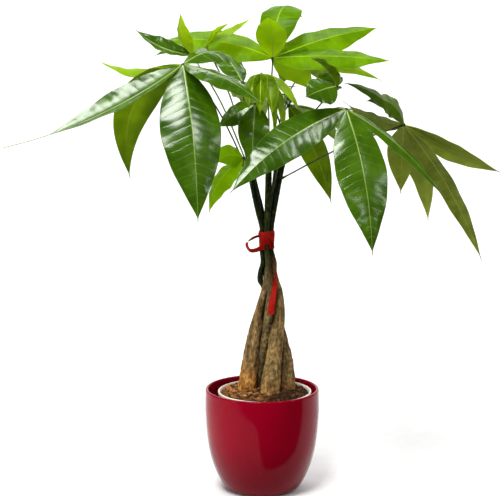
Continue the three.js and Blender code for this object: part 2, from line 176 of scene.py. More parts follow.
def smoothstep(low, high, value):
    """A share that rises smoothly from 0 at low to 1 at high."""
    share = np.clip((value - low) / (high - low), 0, 1)
    return share * share * (3 - 2 * share)


def hash_noise(x, y, seed):
    """Smooth noise from -1 to 1 over two coordinates."""
    x0, y0 = np.floor(x), np.floor(y)
    fx, fy = x - x0, y - y0
    fx, fy = fx * fx * (3 - 2 * fx), fy * fy * (3 - 2 * fy)

    def corner(i, j):
        value = np.sin(i * 127.1 + j * 311.7 + seed * 74.7) * 43758.5453
        return 2 * (value - np.floor(value)) - 1

    low = corner(x0, y0) * (1 - fx) + corner(x0 + 1, y0) * fx
    high = corner(x0, y0 + 1) * (1 - fx) + corner(x0 + 1, y0 + 1) * fx
    return low * (1 - fy) + high * fy


# Material nodes


def feed(tree, socket, value):
    """Joins a socket to another node's output, or sets it to a plain value."""
    if isinstance(value, bpy.types.NodeSocket):
        tree.links.new(value, socket)
    else:
        socket.default_value = value


def put(tree, kind, settings=None, **sockets):
    """A node with its settings, and its inputs set to plain values or joined to other nodes' outputs."""
    made = tree.nodes.new(kind)
    for key, value in (settings or {}).items():
        setattr(made, key, value)
    for key, value in sockets.items():
        feed(tree, made.inputs[key.replace("_", " ")], value)
    return made


def math_of(tree, operation, *values):
    """The output of a Math node."""
    made = put(tree, "ShaderNodeMath", {"operation": operation})
    for socket, value in zip(made.inputs, values):
        feed(tree, socket, value)
    return made.outputs[0]


def product(tree, first, second):
    """Two values multiplied."""
    return math_of(tree, "MULTIPLY", first, second)


def blend_of(tree, share, first, second, mode="MIX"):
    """The colour between two colours."""
    made = put(tree, "ShaderNodeMix", {"data_type": "RGBA", "blend_type": mode})
    feed(tree, made.inputs[0], share)
    for socket, colour in ((made.inputs[6], first), (made.inputs[7], second)):
        feed(tree, socket, colour if isinstance(colour, bpy.types.NodeSocket) else (*colour, 1))
    return made.outputs[2]


def step_of(tree, value, low, high, to_low=0.0, to_high=1.0):
    """A value that goes smoothly from one level to another."""
    made = put(tree, "ShaderNodeMapRange", {"interpolation_type": "SMOOTHSTEP"}, Value=value,
               From_Min=low, From_Max=high, To_Min=to_low, To_Max=to_high)
    return made.outputs["Result"]


def clamped(tree, value):
    """A value kept from 0 to 1."""
    return put(tree, "ShaderNodeClamp", Value=value).outputs[0]


def noise_of(tree, place, scale, detail, roughness=0.5):
    """Smooth noise at a place."""
    return put(tree, "ShaderNodeTexNoise", Vector=place, Scale=scale, Detail=detail,
               Roughness=roughness).outputs["Fac"]


def mesh_value(tree, name):
    """A value that the mesh has at each point."""
    return put(tree, "ShaderNodeAttribute", {"attribute_name": name}).outputs["Fac"]


def object_place(tree):
    """The place on the object, in metres."""
    return put(tree, "ShaderNodeTexCoord").outputs["Object"]


def object_xyz(tree):
    """The X, Y and Z of the place on the object."""
    return put(tree, "ShaderNodeSeparateXYZ", Vector=object_place(tree)).outputs


def group_named(name, inputs, outputs):
    """An empty node group with float inputs (name, value) and named float outputs."""
    group = bpy.data.node_groups.new(name, "ShaderNodeTree")
    for label, value in inputs:
        socket = group.interface.new_socket(name=label, in_out="INPUT", socket_type="NodeSocketFloat")
        socket.default_value = value
    for label in outputs:
        group.interface.new_socket(name=label, in_out="OUTPUT", socket_type="NodeSocketFloat")
    return group, group.nodes.new("NodeGroupInput"), group.nodes.new("NodeGroupOutput")


def give(group, way_out, **results):
    """Joins the results of a group to its outputs."""
    for label, value in results.items():
        group.links.new(value, way_out.inputs[label])


def placed_group(tree, group, **values):
    """The outputs of a node group that is placed in a material with its own values."""
    return put(tree, "ShaderNodeGroup", {"node_tree": group}, **values).outputs


def uneven_group():
    """Patches, specks and fine grain at a chosen size, stretched along the height."""
    group, way_in, way_out = group_named(
        "uneven_surface", [("Size", 60.0), ("Stretch", 1.0)], ["Patches", "Specks", "Grain"],
    )
    place = object_xyz(group)
    height = product(group, place["Z"], way_in.outputs["Stretch"])
    stretched = put(group, "ShaderNodeCombineXYZ", X=place["X"], Y=place["Y"], Z=height)
    scaled = put(group, "ShaderNodeVectorMath", {"operation": "SCALE"},
                 Vector=stretched.outputs[0], Scale=way_in.outputs["Size"]).outputs[0]
    specks = put(group, "ShaderNodeTexVoronoi", {"feature": "F1"}, Vector=scaled, Scale=7.0)
    give(
        group, way_out,
        Patches=noise_of(group, scaled, 1.0, 5.0, 0.6),
        Specks=specks.outputs["Distance"],
        Grain=noise_of(group, scaled, 14.0, 6.0, 0.7),
    )
    return group


def leaf_veins_group():
    """Where the midrib, side veins, fine net and margin of a leaflet run, from values on its mesh."""
    group, way_in, way_out = group_named(
        "leaf_veins", [("Rib Width", 1.2), ("Vein Width", 0.07)],
        ["Rib", "Veins", "Net", "Margin", "Shade", "Height"],
    )
    along, from_rib = mesh_value(group, "along"), mesh_value(group, "from_rib")
    from_edge, vein = mesh_value(group, "from_edge"), mesh_value(group, "vein")
    place = object_place(group)
    taper = math_of(group, "MULTIPLY_ADD", along, -0.72, 1.0)
    rib = math_of(group, "DIVIDE", from_rib, product(group, taper, way_in.outputs["Rib Width"]))
    broad = step_of(group, math_of(group, "ADD", from_rib, from_edge), 1.2, 2.6)
    fading = product(group, broad, math_of(group, "MULTIPLY_ADD", along, -0.45, 1.0))
    rib = product(group, step_of(group, rib, 1.25, 0.7), fading)
    wander = math_of(group, "MULTIPLY_ADD", noise_of(group, place, 90.0, 2.0), 0.3, vein)
    wander = math_of(group, "FRACT", math_of(group, "ADD", wander, 0.35))
    nearest = math_of(group, "ABSOLUTE", math_of(group, "SUBTRACT", wander, 0.5))
    veins = step_of(group, math_of(group, "DIVIDE", nearest, way_in.outputs["Vein Width"]), 1.0, 0.2)
    veins = product(group, veins, step_of(group, from_edge, 0.5, 6.0))
    net = put(group, "ShaderNodeTexVoronoi", {"feature": "DISTANCE_TO_EDGE"}, Vector=place, Scale=420.0)
    net = step_of(group, net.outputs["Distance"], 0.09, 0.0)
    grain = noise_of(group, place, 900.0, 3.0, 0.6)
    height = math_of(group, "MULTIPLY_ADD", veins, -0.5, product(group, grain, 0.3))
    give(
        group, way_out, Rib=rib, Veins=veins, Net=net,
        Margin=product(group, step_of(group, from_edge, 0.9, 0.2), broad),
        Shade=noise_of(group, place, 38.0, 4.0, 0.55),
        Height=math_of(group, "MULTIPLY_ADD", net, -0.08, height),
    )
    return group


def new_material(name):
    """A material with its surface shader joined to its output."""
    material = bpy.data.materials.new(name)
    material.use_nodes = True
    tree = material.node_tree
    tree.nodes.clear()
    surface = tree.nodes.new("ShaderNodeBsdfPrincipled")
    out = put(tree, "ShaderNodeOutputMaterial", Surface=surface.outputs[0])
    return material, tree, surface, out


def set_surface(tree, surface, colour, rough, **plain):
    """Sets colour and roughness of a surface, and the values that are the same all over it."""
    feed(tree, surface.inputs["Base Color"], colour)
    feed(tree, surface.inputs["Roughness"], rough)
    for key, value in plain.items():
        surface.inputs[key.replace("_", " ")].default_value = value


def grain_step(tree, uneven, low, high):
    """A roughness that goes from low to high with the fine grain."""
    return step_of(tree, uneven["Grain"], 0.3, 0.7, low, high)


def bumped(tree, surface, height, strength, distance):
    """Gives a surface a fine relief."""
    bump = put(tree, "ShaderNodeBump", Height=height, Strength=strength, Distance=distance)
    tree.links.new(bump.outputs[0], surface.inputs["Normal"])


UNEVEN = uneven_group()
VEINS = leaf_veins_group()
# How strongly the fine net and the margin of a leaflet show in the colour of its veins
NET_SHARE = 0.06
MARGIN_SHARE = 0.35


def leaf_face(name, deep, light, rib_colour, vein_share, through, through_share, roughness, mirror):
    """One face of a leaf blade: colour from deep to light, pale veins, and light that shines through."""
    material, tree, surface, out = new_material(name)
    veins = placed_group(tree, VEINS)
    shade = step_of(tree, veins["Shade"], 0.3, 0.72, -0.22, 0.22)
    level = clamped(tree, math_of(tree, "ADD", mesh_value(tree, "tone"), shade))
    colour = blend_of(tree, level, deep, light)
    for label, share in (("Veins", vein_share), ("Net", NET_SHARE), ("Margin", MARGIN_SHARE)):
        colour = blend_of(tree, product(tree, veins[label], share), colour, rib_colour)
    colour = blend_of(tree, veins["Rib"], colour, rib_colour)
    rough = step_of(tree, veins["Shade"], 0.3, 0.7, roughness - 0.03, roughness + 0.03)
    set_surface(tree, surface, colour, rough, Specular_IOR_Level=mirror, Specular_Tint=(0.95, 1.0, 0.90, 1.0))
    bumped(tree, surface, veins["Height"], 0.5, 0.0003)
    glow = put(tree, "ShaderNodeBsdfTranslucent", Color=(*through, 1))
    both = tree.nodes.new("ShaderNodeMixShader")
    for socket, value in zip(both.inputs, (through_share, surface.outputs[0], glow.outputs[0])):
        feed(tree, socket, value)
    tree.links.new(both.outputs[0], out.inputs["Surface"])
    return material


def leaf_stalk_material(name, deep, light):
    """Smooth green stalk with faint long streaks."""
    material, tree, surface, _ = new_material(name)
    uneven = placed_group(tree, UNEVEN, Size=90.0, Stretch=0.4)
    colour = blend_of(tree, step_of(tree, uneven["Patches"], 0.35, 0.65), deep, light)
    set_surface(tree, surface, colour, grain_step(tree, uneven, 0.35, 0.5), Specular_IOR_Level=0.15)
    bumped(tree, surface, uneven["Grain"], 0.3, 0.0003)
    return material


def glaze_material():
    """Glossy dark red glaze, a little uneven in depth in random patches, painted darker towards the foot as
    shade, with a trace of ripple.
    """
    material, tree, surface, _ = new_material("red_glaze")
    uneven = placed_group(tree, UNEVEN, Size=22.0, Stretch=0.5)
    height = object_xyz(tree)["Z"]
    mottle = step_of(tree, uneven["Patches"], 0.2, 0.8, 0.75, 1.0)
    # Painted shade: the glaze goes from dark at the foot to its full red 11 cm up, times its random patches.
    depth = product(tree, step_of(tree, height, 0.0, 0.11), mottle)
    colour = blend_of(tree, depth, (0.14, 0.0004, 0.006), (0.30, 0.0006, 0.013))
    lip = step_of(tree, height, 0.1525, 0.1555)
    colour = blend_of(tree, product(tree, lip, 0.5), colour, (0.20, 0.002, 0.010))
    speck = step_of(tree, uneven["Specks"], 0.06, 0.02)
    colour = blend_of(tree, product(tree, speck, 0.35), colour, (0.10, 0.001, 0.008))
    set_surface(tree, surface, colour, grain_step(tree, uneven, 0.11, 0.15),
                Specular_IOR_Level=0.135, Specular_Tint=(1.0, 0.72, 0.78, 1.0))
    bumped(tree, surface, uneven["Patches"], 0.06, 0.002)
    return material


def nursery_material():
    """Cream moulded plastic with a fine satin grain and some specks of dirt."""
    material, tree, surface, _ = new_material("cream_plastic")
    uneven = placed_group(tree, UNEVEN, Size=60.0, Stretch=1.0)
    share = step_of(tree, uneven["Patches"], 0.3, 0.75)
    colour = blend_of(tree, share, (0.80, 0.74, 0.62), (0.90, 0.86, 0.78))
    dirt = step_of(tree, uneven["Specks"], 0.09, 0.03)
    colour = blend_of(tree, product(tree, dirt, 0.3), colour, (0.35, 0.24, 0.14))
    set_surface(tree, surface, colour, grain_step(tree, uneven, 0.38, 0.52))
    bumped(tree, surface, uneven["Grain"], 0.15, 0.0004)
    return material


def soil_material(name, dark, warm, size):
    """Soil surface with random patches and dark specks, painted lighter and warmer on the left where the
    light falls and darker on the right as shade.
    """
    material, tree, surface, _ = new_material(name)
    uneven = placed_group(tree, UNEVEN, Size=size, Stretch=1.0)
    # Painted light and shade: lighter and warmer towards the left where the light falls, darker towards the
    # right.
    lit_side_share = step_of(tree, object_xyz(tree)["X"], 0.025, -0.045, 0.0, 0.75)
    patches = step_of(tree, uneven["Patches"], 0.3, 0.7)
    share = math_of(tree, "MULTIPLY_ADD", patches, 0.25, lit_side_share)
    share = product(tree, share, math_of(tree, "ADD", mesh_value(tree, "tone"), 0.1))
    colour = blend_of(tree, clamped(tree, share), dark, warm)
    speck = step_of(tree, uneven["Specks"], 0.14, 0.05)
    colour = blend_of(tree, product(tree, speck, 0.5), colour, [c * 0.35 for c in dark])
    set_surface(tree, surface, colour, grain_step(tree, uneven, 0.75, 0.95), Specular_IOR_Level=0.08)
    bumped(tree, surface, uneven["Grain"], 0.8, 0.0012)
    return material


def bark_material(name, foot, middle, skin, streak, foot_height, green_from=(0.340, 0.405)):
    """Flaky tan bark low on the stem, grey-brown above it, and smooth dark green skin at the top."""
    material, tree, surface, _ = new_material(name)
    flakes = placed_group(tree, UNEVEN, Size=120.0, Stretch=0.35)
    crumbs = placed_group(tree, UNEVEN, Size=300.0, Stretch=0.6)
    broad = placed_group(tree, UNEVEN, Size=34.0, Stretch=0.3)
    height = object_xyz(tree)["Z"]
    ragged = math_of(tree, "MULTIPLY_ADD", broad["Patches"], 0.05, height)
    above = step_of(tree, ragged, foot_height + 0.006, foot_height + 0.062)
    flake = step_of(tree, flakes["Patches"], 0.42, 0.6)
    low = blend_of(tree, flake, [c * 0.45 for c in foot], foot)
    mid = blend_of(tree, flake, [c * 0.5 for c in middle], middle)
    colour = blend_of(tree, above, low, mid)
    crumbly = step_of(tree, crumbs["Patches"], 0.36, 0.62, 0.55, 1.3)
    colour = blend_of(tree, 1.0, colour, crumbly, "MULTIPLY")
    green = blend_of(tree, step_of(tree, broad["Grain"], 0.42, 0.62), skin, streak)
    colour = blend_of(tree, step_of(tree, ragged, *green_from), colour, green)
    fade = step_of(tree, height, 0.34, 0.2)
    pale = step_of(tree, broad["Specks"], 0.26, 0.12)
    pale = product(tree, pale, step_of(tree, flakes["Patches"], 0.54, 0.62))
    colour = blend_of(tree, product(tree, pale, product(tree, fade, 0.9)), colour, (0.75, 0.60, 0.38))
    pits = step_of(tree, crumbs["Specks"], 0.3, 0.1)
    pits = product(tree, pits, product(tree, fade, 0.35))
    colour = blend_of(tree, pits, colour, [c * 0.2 for c in middle])
    set_surface(tree, surface, colour, step_of(tree, ragged, 0.29, 0.35, 0.85, 0.5), Specular_IOR_Level=0.08)
    relief = math_of(tree, "MULTIPLY_ADD", crumbs["Patches"], 0.8, flakes["Patches"])
    bumped(tree, surface, relief, 0.9, 0.0025)
    return material


def ribbon_material():
    """Red woven ribbon with fine cross ribs and a soft sheen."""
    material, tree, surface, _ = new_material("red_ribbon")
    weft = math_of(tree, "SINE", product(tree, mesh_value(tree, "run"), 2 * math.pi / WEFT_SPACING))
    warp = math_of(tree, "SINE", product(tree, mesh_value(tree, "cross"), 2 * math.pi / WARP_SPACING))
    weave = math_of(tree, "MULTIPLY_ADD", product(tree, weft, warp), 0.5, 0.5)
    uneven = placed_group(tree, UNEVEN, Size=140.0, Stretch=1.0)
    share = step_of(tree, uneven["Patches"], 0.3, 0.7)
    colour = blend_of(tree, share, (0.30, 0.004, 0.0020), (0.52, 0.009, 0.003))
    colour = blend_of(tree, product(tree, weave, 0.3), colour, (0.20, 0.001, 0.001))
    set_surface(tree, surface, colour, grain_step(tree, uneven, 0.4, 0.55), Specular_IOR_Level=0.1)
    bumped(tree, surface, weave, 0.4, 0.0002)
    return material


# The glazed pot and the nursery pot

POT_HEIGHT = 156
POT_RIM_RADIUS = 86
POT_WALL = 4.5
POT_FLOOR = 8
POT_SEGMENTS = 128
POT_OUTSIDE_RINGS = 44
POT_INSIDE_RINGS = 34
NURSERY_SHIFT = (4, -3)
# How far the nursery pot stands above the outer pot's floor
NURSERY_LIFT = 0.3
NURSERY_WALL = 1.6
NURSERY_SEGMENTS = 112
DRAIN_HOLES = 6
DRAIN_RADIUS = 5
DRAIN_CIRCLE = 30


def even_spline(knots, count):
    """Points on a smooth curve through evenly numbered knots."""
    knots = [np.array(k, float) for k in knots]
    out = []
    for k in range(count):
        place = (len(knots) - 1) * k / (count - 1)
        part = min(int(place), len(knots) - 2)
        p1, p2 = knots[part], knots[part + 1]
        p0 = knots[part - 1] if part else p1
        p3 = knots[part + 2] if part + 2 < len(knots) else p2
        out.append(tuple(eased(place - part, p1, p2, (p2 - p0) / 2, (p3 - p1) / 2)))
    return out


def make_pot(material):
    """The round outer pot: bellied wall, rounded lip, flat foot."""
    half = POT_WALL / 2
    outside = even_spline(
        [(51, 0), (59, 7), (68, 23), (76.8, 47), (82.7, 76), (86.3, 120),
         (POT_RIM_RADIUS, POT_HEIGHT - half)],
        POT_OUTSIDE_RINGS,
    )
    lip = [
        (POT_RIM_RADIUS - half + half * math.cos(a), POT_HEIGHT - half + half * math.sin(a))
        for a in np.linspace(0, math.pi, 11)[1:-1]
    ]
    inside = even_spline(
        [(POT_RIM_RADIUS - POT_WALL, POT_HEIGHT - half), (81.8, 120), (78.2, 77), (71.8, 48), (62.5, 25),
         (52, POT_FLOOR + 1.5), (48, POT_FLOOR)],
        POT_INSIDE_RINGS,
    )
    profile = [(0, 1.2), (44, 1.2), (46, 0.2), (50.2, 0), *outside[1:], *lip, *inside, (0, POT_FLOOR)]
    piece = lathe_piece("glazed_pot", profile, POT_SEGMENTS, material)
    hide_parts("pot")
    return piece


def make_nursery_pot(material):
    """The thin inner pot with its thicker rim and the drainage holes in its floor."""
    floor = POT_FLOOR + NURSERY_LIFT
    profile = [
        (0, floor), (43, floor), (44.6, floor + 0.6), (45, floor + 2), (49.3, 36), (55.6, 74), (61.9, 110),
        (68.1, 146.6), (68.8, 147), (70.1, 147.2), (70.8, 148), (70.8, 151.6), (70.5, 152.4), (69.9, 152.9),
        (69.3, 153), (68.7, 152.7), (68.3, 152), (67.5, 149.5), (66.9, 146.5), (60.5, 110), (54.1, 74),
        (47.8, 36), (43.4, floor + 3.6), (41, floor + NURSERY_WALL), (0, floor + NURSERY_WALL),
    ]
    piece = lathe_piece("nursery_pot", profile, NURSERY_SEGMENTS, material)
    for k in range(DRAIN_HOLES):
        angle = math.radians(360 / DRAIN_HOLES * k)
        reach = DRAIN_CIRCLE * MM
        bpy.ops.mesh.primitive_cylinder_add(
            vertices=24, radius=DRAIN_RADIUS * MM, depth=6 * MM,
            location=(reach * math.cos(angle), reach * math.sin(angle), (floor + 1) * MM),
        )
        drill = bpy.context.object
        cut = piece.modifiers.new("drain_hole", "BOOLEAN")
        cut.operation = "DIFFERENCE"
        cut.solver = "EXACT"
        cut.object = drill
        bpy.context.view_layer.objects.active = piece
        bpy.ops.object.modifier_apply(modifier=cut.name)
        bpy.data.objects.remove(drill)
    piece.location = (NURSERY_SHIFT[0] * MM, NURSERY_SHIFT[1] * MM, 0)
    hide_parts("inner_pot")
    return piece


def beside_nursery_axis(radius, angle):
    """x and y at a radius and an angle from the nursery pot's axis."""
    return NURSERY_SHIFT[0] + radius * math.cos(angle), NURSERY_SHIFT[1] + radius * math.sin(angle)


def nursery_radius(x, y):
    """How far a place is from the nursery pot's axis."""
    return math.hypot(x - NURSERY_SHIFT[0], y - NURSERY_SHIFT[1])


# Stems: for each the points of its course, as height, x, y and radius

STEMS = {
    "stem_1": [
        [84, -20, -3, 9], [104, -22, -3, 13.6], [154, -22.5, -3, 14.4], [213, -16, -3, 11.3],
        [250, -9.5, -3, 9.3], [279, -4.4, -5, 5.9], [308, 3.4, -3.4, 4.7], [320, 6.2, -0.4, 4.1],
        [335, 5, 6.5, 4.2], [350, 4.8, 6.7, 4.1], [368, 2.5, 5.8, 4], [400, 2.5, 5.8, 4], [424, -1, 8, 4.8],
        [474, -13, 14, 4.6], [514, -18, 18, 3.8],
    ],
    "stem_2": [
        [84, 10, -20, 9], [104, 11, -23, 14.2], [154, 11.7, -24, 15.3], [213, 18, -16, 11.8],
        [250, 22.6, -9, 10.2], [279, 25.5, -4, 8.3], [308, 24.5, -1.5, 5.6], [320, 21, -0.5, 5],
        [335, 17.5, 0.5, 4.6], [350, 17.5, -0.5, 4.4], [368, 13.5, -2.2, 4], [400, 13.5, -2.2, 4],
        [424, 16, -3, 5], [474, 24.5, -1, 5.2], [520, 35, 2, 4],
    ],
    "stem_3": [
        [84, 35, 3, 8], [104, 37, 3, 12.2], [154, 37.5, 3, 13.2], [199, 34.5, 7, 12], [225, 29.5, 11, 10.4],
        [250, 24, 14, 9], [279, 19, 13, 6.8], [308, 17, 10, 5.2], [335, 13.5, 9.5, 4.3],
        [350, 13.5, 8.5, 4.2], [368, 10.9, 5.8, 4], [400, 10.9, 5.8, 4], [424, 13, 9, 4.8],
        [474, 20, 17, 4.6], [530, 24, 26, 3.8],
    ],
    "stem_4": [
        [84, -2, 6, 4.5], [104, -2, 6, 5.8], [154, -2, 6, 6.2], [186, -0.5, 1, 5.8], [213, 1.8, -7, 5.2],
        [250, 6.3, -12.4, 5.8], [279, 10, -13.4, 6], [308, 12.7, -10.4, 5.5], [335, 8.8, -7.8, 5],
        [350, 9.3, -8.3, 4.6], [368, 6.7, -7.2, 4], [400, 6.7, -7.2, 4], [424, 8, -9, 5], [474, 9, -12, 5],
        [540, 10, -16, 3.6],
    ],
    "stem_5": [
        [84, 8, 22, 9], [104, 8, 24.5, 13], [154, 8, 25, 14], [213, 6, 19, 11], [250, 3.5, 14, 8.3],
        [279, 4, 9, 6], [308, 3.4, 7, 4.2], [320, -2.6, 5.2, 3.9], [335, -2.3, -1.2, 4],
        [350, 1.2, -2.6, 3.9], [368, -0.1, -2.2, 4], [400, -0.1, -2.2, 4], [424, -5, -3, 4.9],
        [474, -15.5, -6, 4.9], [506, -23, -8, 3.8],
    ],
}


# Where a stem is a little thicker than its course, as the height and how far it reaches up and down
STEM_SWELLINGS = {"stem_1": (318, 8), "stem_5": (318, 8), "stem_4": (176, 10)}
SWELLING_SHARE = 0.14
STEM_FOOT = 84
STEM_SIDES = 44
STEM_RING_SPACING = 1.7
# Heights between which flaky bark turns to smooth skin, and between which a stem gets fuller or slimmer
FLAKES_END = (215, 300)
SKIN_STARTS = (300, 350)
FULLER_FROM = (222, 240)
FULLER_TO = (335, 350)
SLIMMER_FROM = (350, 362)
# Height from its top and share of its radius for the rings of a stem's rounded tip
STEM_TIP = ((-4, 0.86), (-2, 0.66), (-0.6, 0.36), (0, 0.1))
LEAF_SCAR_SPACING = 41


def course_at(course, height):
    """x, y and radius of a stem at a height, smoothly between the points of its course."""
    above = next((i for i, row in enumerate(course) if row[0] >= height), None)
    if above is None:
        return np.array(course[-1][1:], float)
    if above == 0:
        return np.array(course[0][1:], float)
    low, high = course[above - 1], course[above]
    before, after = course[max(above - 2, 0)], course[min(above + 1, len(course) - 1)]
    span = high[0] - low[0]
    values = []
    for column in (1, 2, 3):
        low_slope = (high[column] - before[column]) / (high[0] - before[0]) * span
        high_slope = (after[column] - low[column]) / (after[0] - low[0]) * span
        values.append(eased((height - low[0]) / span, low[column], high[column], low_slope, high_slope))
    return np.array(values)


def make_stem(name, number, material):
    """A stem with lumps, flaky bark low down and leaf scars near its top."""
    course = STEMS[name]
    top = course[-1][0]
    heights = np.concatenate([np.linspace(STEM_FOOT, 140, 8), np.arange(142, top - 6, STEM_RING_SPACING)])
    angles = round_angles(STEM_SIDES)
    turn = angles / (2 * math.pi) * 7
    points = []
    for height in heights:
        x, y, radius = course_at(course, height)
        flaky = 1 - smoothstep(*FLAKES_END, height)
        smooth_skin = smoothstep(*SKIN_STARTS, height)
        lumps = 0.028 * hash_noise(turn * 0.43, height / 26, number)
        flutes = 0.016 * np.sin(angles * 3 + height / 42 + number) * (1 - smooth_skin)
        flakes = 0.7 * flaky * hash_noise(turn * 2.2, height / 5.5, number + 7)
        fine = 0.36 * (0.3 + 0.7 * flaky) * hash_noise(turn * 5, height / 2.4, number + 19)
        scar = np.exp(-(((height - 12 * number) % LEAF_SCAR_SPACING - 20) / 1.6) ** 2) * smooth_skin
        share = 0.99 + 0.05 * (smoothstep(*FULLER_FROM, height) - smoothstep(*FULLER_TO, height))
        share = share - 0.035 * smoothstep(*SLIMMER_FROM, height)
        if name in STEM_SWELLINGS:
            place, reach = STEM_SWELLINGS[name]
            share = share + SWELLING_SHARE * math.exp(-((height - place) / reach) ** 2)
        grown = radius * (share + lumps + flutes) + flakes + fine + 0.28 * scar
        points += [(x + r * math.cos(a), y + r * math.sin(a), height) for r, a in zip(grown, angles)]
    for rise, share in STEM_TIP:
        x, y, radius = course_at(course, top + rise)
        r = radius * share
        points += [(x + r * math.cos(a), y + r * math.sin(a), top + rise) for a in angles]
    faces = ring_faces(len(points) // STEM_SIDES, STEM_SIDES)
    piece = mesh_piece(f"{name}_bark", points, faces, [material])
    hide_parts(name)
    return piece


# Soil: a rough surface with bark chips and coir fibres

SOIL_EDGE = 150.2
SOIL_RISE = 7.5
SOIL_RADIUS = 66.1
# How far from the axis a chip's rim and a fibre may reach
CHIP_LIMIT = 65.0
FIBRE_LIMIT = 64.5
# Radius and height of the rings below the soil's surface, along the nursery pot's wall
SOIL_BELOW = ((1, 12.5), (42.6, 12.5), (53.4, 74), (SOIL_RADIUS, 146.6))
SOIL_SPOKES = 150
SOIL_RINGS = 46
CHIP_COUNT = 900
CHIP_REACH = 63.5
# Sizes of the chips and how dark or light they are, each with how often it comes
CHIP_SIZES = ([1.5, 2.4, 3.6, 5.2], [0.35, 0.33, 0.22, 0.1])
CHIP_TONES = ([0.05, 0.35, 0.8, 1.3], [0.35, 0.25, 0.22, 0.18])
# Height and width of a chip's four rings, as shares of its thickness and its size
CHIP_RINGS = ((-1, 0.8), (-0.3, 1.0), (0.5, 0.9), (1, 0.55))
FIBRE_COUNT = 420
FIBRE_REACH = 60
FIBRE_STEPS = 8
FIBRE_SIDES = 5
# Height at which chips and fibres keep clear of the stems
CLEAR_HEIGHT = 150
LEANING_FIBRE = [(47, 6, 154.5), (57.5, 6, 161), (58.5, 5, 178), (53, 4, 196), (47.6, 4, 203)]


def soil_height(x, y):
    """Height of the soil at a place."""
    share = min(nursery_radius(x, y) / 66, 1)
    lumps = 0.9 * hash_noise(x / 9, y / 9, 3) + 0.5 * hash_noise(x / 3, y / 3, 5)
    return SOIL_EDGE + SOIL_RISE * (1 - share * share) + float(lumps) - 0.6


def clear_of_stems(x, y, room):
    """Whether a place on the soil has this much room to every stem."""
    for course in STEMS.values():
        stem_x, stem_y, radius = course_at(course, CLEAR_HEIGHT)
        if math.hypot(x - stem_x, y - stem_y) < radius + room:
            return False
    return True


def make_soil(material):
    """The soil in the nursery pot, with a lumpy surface that rises towards the stems."""
    angles = round_angles(SOIL_SPOKES)
    points = [(*beside_nursery_axis(radius, a), height) for radius, height in SOIL_BELOW for a in angles]
    for share in np.linspace(1, 0.02, SOIL_RINGS):
        for a in angles:
            x, y = beside_nursery_axis(SOIL_RADIUS * share, a)
            points.append((x, y, soil_height(x, y)))
    faces = ring_faces(len(points) // SOIL_SPOKES, SOIL_SPOKES)
    piece = mesh_piece("soil_bed", points, faces, [material], numbers={"tone": np.full(len(points), 0.45)})
    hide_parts("soil")
    return piece


def make_chips(material):
    """Bark chips and crumbs: small uneven flakes lying at all angles on the soil."""
    random = np.random.default_rng(21)
    points, faces, tones = [], [], []
    made = 0
    while made < CHIP_COUNT:
        angle, reach = random.uniform(0, 2 * math.pi), CHIP_REACH * math.sqrt(random.uniform(0, 1))
        x, y = beside_nursery_axis(reach, angle)
        size = random.choice(CHIP_SIZES[0], p=CHIP_SIZES[1])
        if reach > CHIP_LIMIT - size or not clear_of_stems(x, y, size * 0.8):
            continue
        made += 1
        sides = int(random.integers(5, 8))
        lengths = random.uniform(0.6, 1.0, sides)
        up = unit(np.array([random.normal(0, 0.55), random.normal(0, 0.55), 1]))
        side = unit(np.cross(up, [math.cos(angle), math.sin(angle), 0.1]))
        other = np.cross(up, side)
        spin = random.uniform(0, 2 * math.pi)
        stretch = random.uniform(0.45, 0.9)
        thick = size * random.uniform(0.2, 0.4)
        centre = np.array([x, y, soil_height(x, y) + thick * 0.5 + random.uniform(0, 1.4)])
        first = len(points)
        for level, share in CHIP_RINGS:
            for k in range(sides):
                a = 2 * math.pi * k / sides + spin
                width = size * share * lengths[k]
                rise = thick * level + random.uniform(-0.12, 0.12) * size * 0.3
                points.append(centre + side * width * math.cos(a) + other * width * stretch * math.sin(a)
                              + up * rise)
        faces += ring_faces(len(CHIP_RINGS), sides, first)
        tones += [random.choice(CHIP_TONES[0], p=CHIP_TONES[1])] * (len(CHIP_RINGS) * sides)
    return mesh_piece("bark_chips", points, faces, [material], numbers={"tone": tones}, smooth=False)


def make_fibres(material):
    """Coir fibres, loosely curled, and one long pale one that leans on the right stem."""
    random = np.random.default_rng(8)
    points, faces, tones = [], [], []

    def add(path, radius, tone):
        shares = np.linspace(0, 1, len(path))
        radii = radius * (1 - 0.6 * np.abs(2 * shares - 1) ** 3)
        faces.extend(ring_faces(len(path), FIBRE_SIDES, len(points)))
        points.extend(tube_rings(np.array(path), radii, FIBRE_SIDES, (0.3, 0.2, 0.9)))
        tones.extend([tone] * (FIBRE_SIDES * len(path)))

    made = 0
    while made < FIBRE_COUNT:
        angle, reach = random.uniform(0, 2 * math.pi), FIBRE_REACH * math.sqrt(random.uniform(0, 1))
        x, y = beside_nursery_axis(reach, angle)
        heading = random.uniform(0, 2 * math.pi)
        curl = random.uniform(-0.25, 0.25)
        step = random.uniform(6, 20) / FIBRE_STEPS
        path = []
        for k in range(FIBRE_STEPS + 1):
            arch = 1.5 * math.sin(math.pi * k / FIBRE_STEPS) * random.uniform(0.3, 1)
            path.append((x, y, soil_height(x, y) + 0.5 + arch))
            x += step * math.cos(heading)
            y += step * math.sin(heading)
            heading += curl
        inside = all(nursery_radius(p[0], p[1]) < FIBRE_LIMIT for p in path)
        if not inside or not all(clear_of_stems(p[0], p[1], 0.6) for p in path):
            continue
        made += 1
        add(path, random.uniform(0.14, 0.3), random.uniform(0.5, 1.3))
    add(smooth_path(LEANING_FIBRE, 26), 0.16, 1.3)
    return mesh_piece("coir_fibres", points, faces, [material], numbers={"tone": tones})


# The ribbon: rounds about the stems, a gather in front, a loop and a tail, all of one cloth

RIBBON_WIDTH = 12
CLOTH_THICKNESS = 0.35
WEFT_SPACING = 0.7
WARP_SPACING = 0.8
TIED_HEIGHT = 385
TIED_STEM_RADIUS = 4.0
ROUND_PLACES = 121
# For each round its height, its room to the stems and how many places are left open on each side of its gap
ROUNDS = ((391.6, 1.3, 0), (383.8, 0.9, 0), (376.0, 0.5, 6))
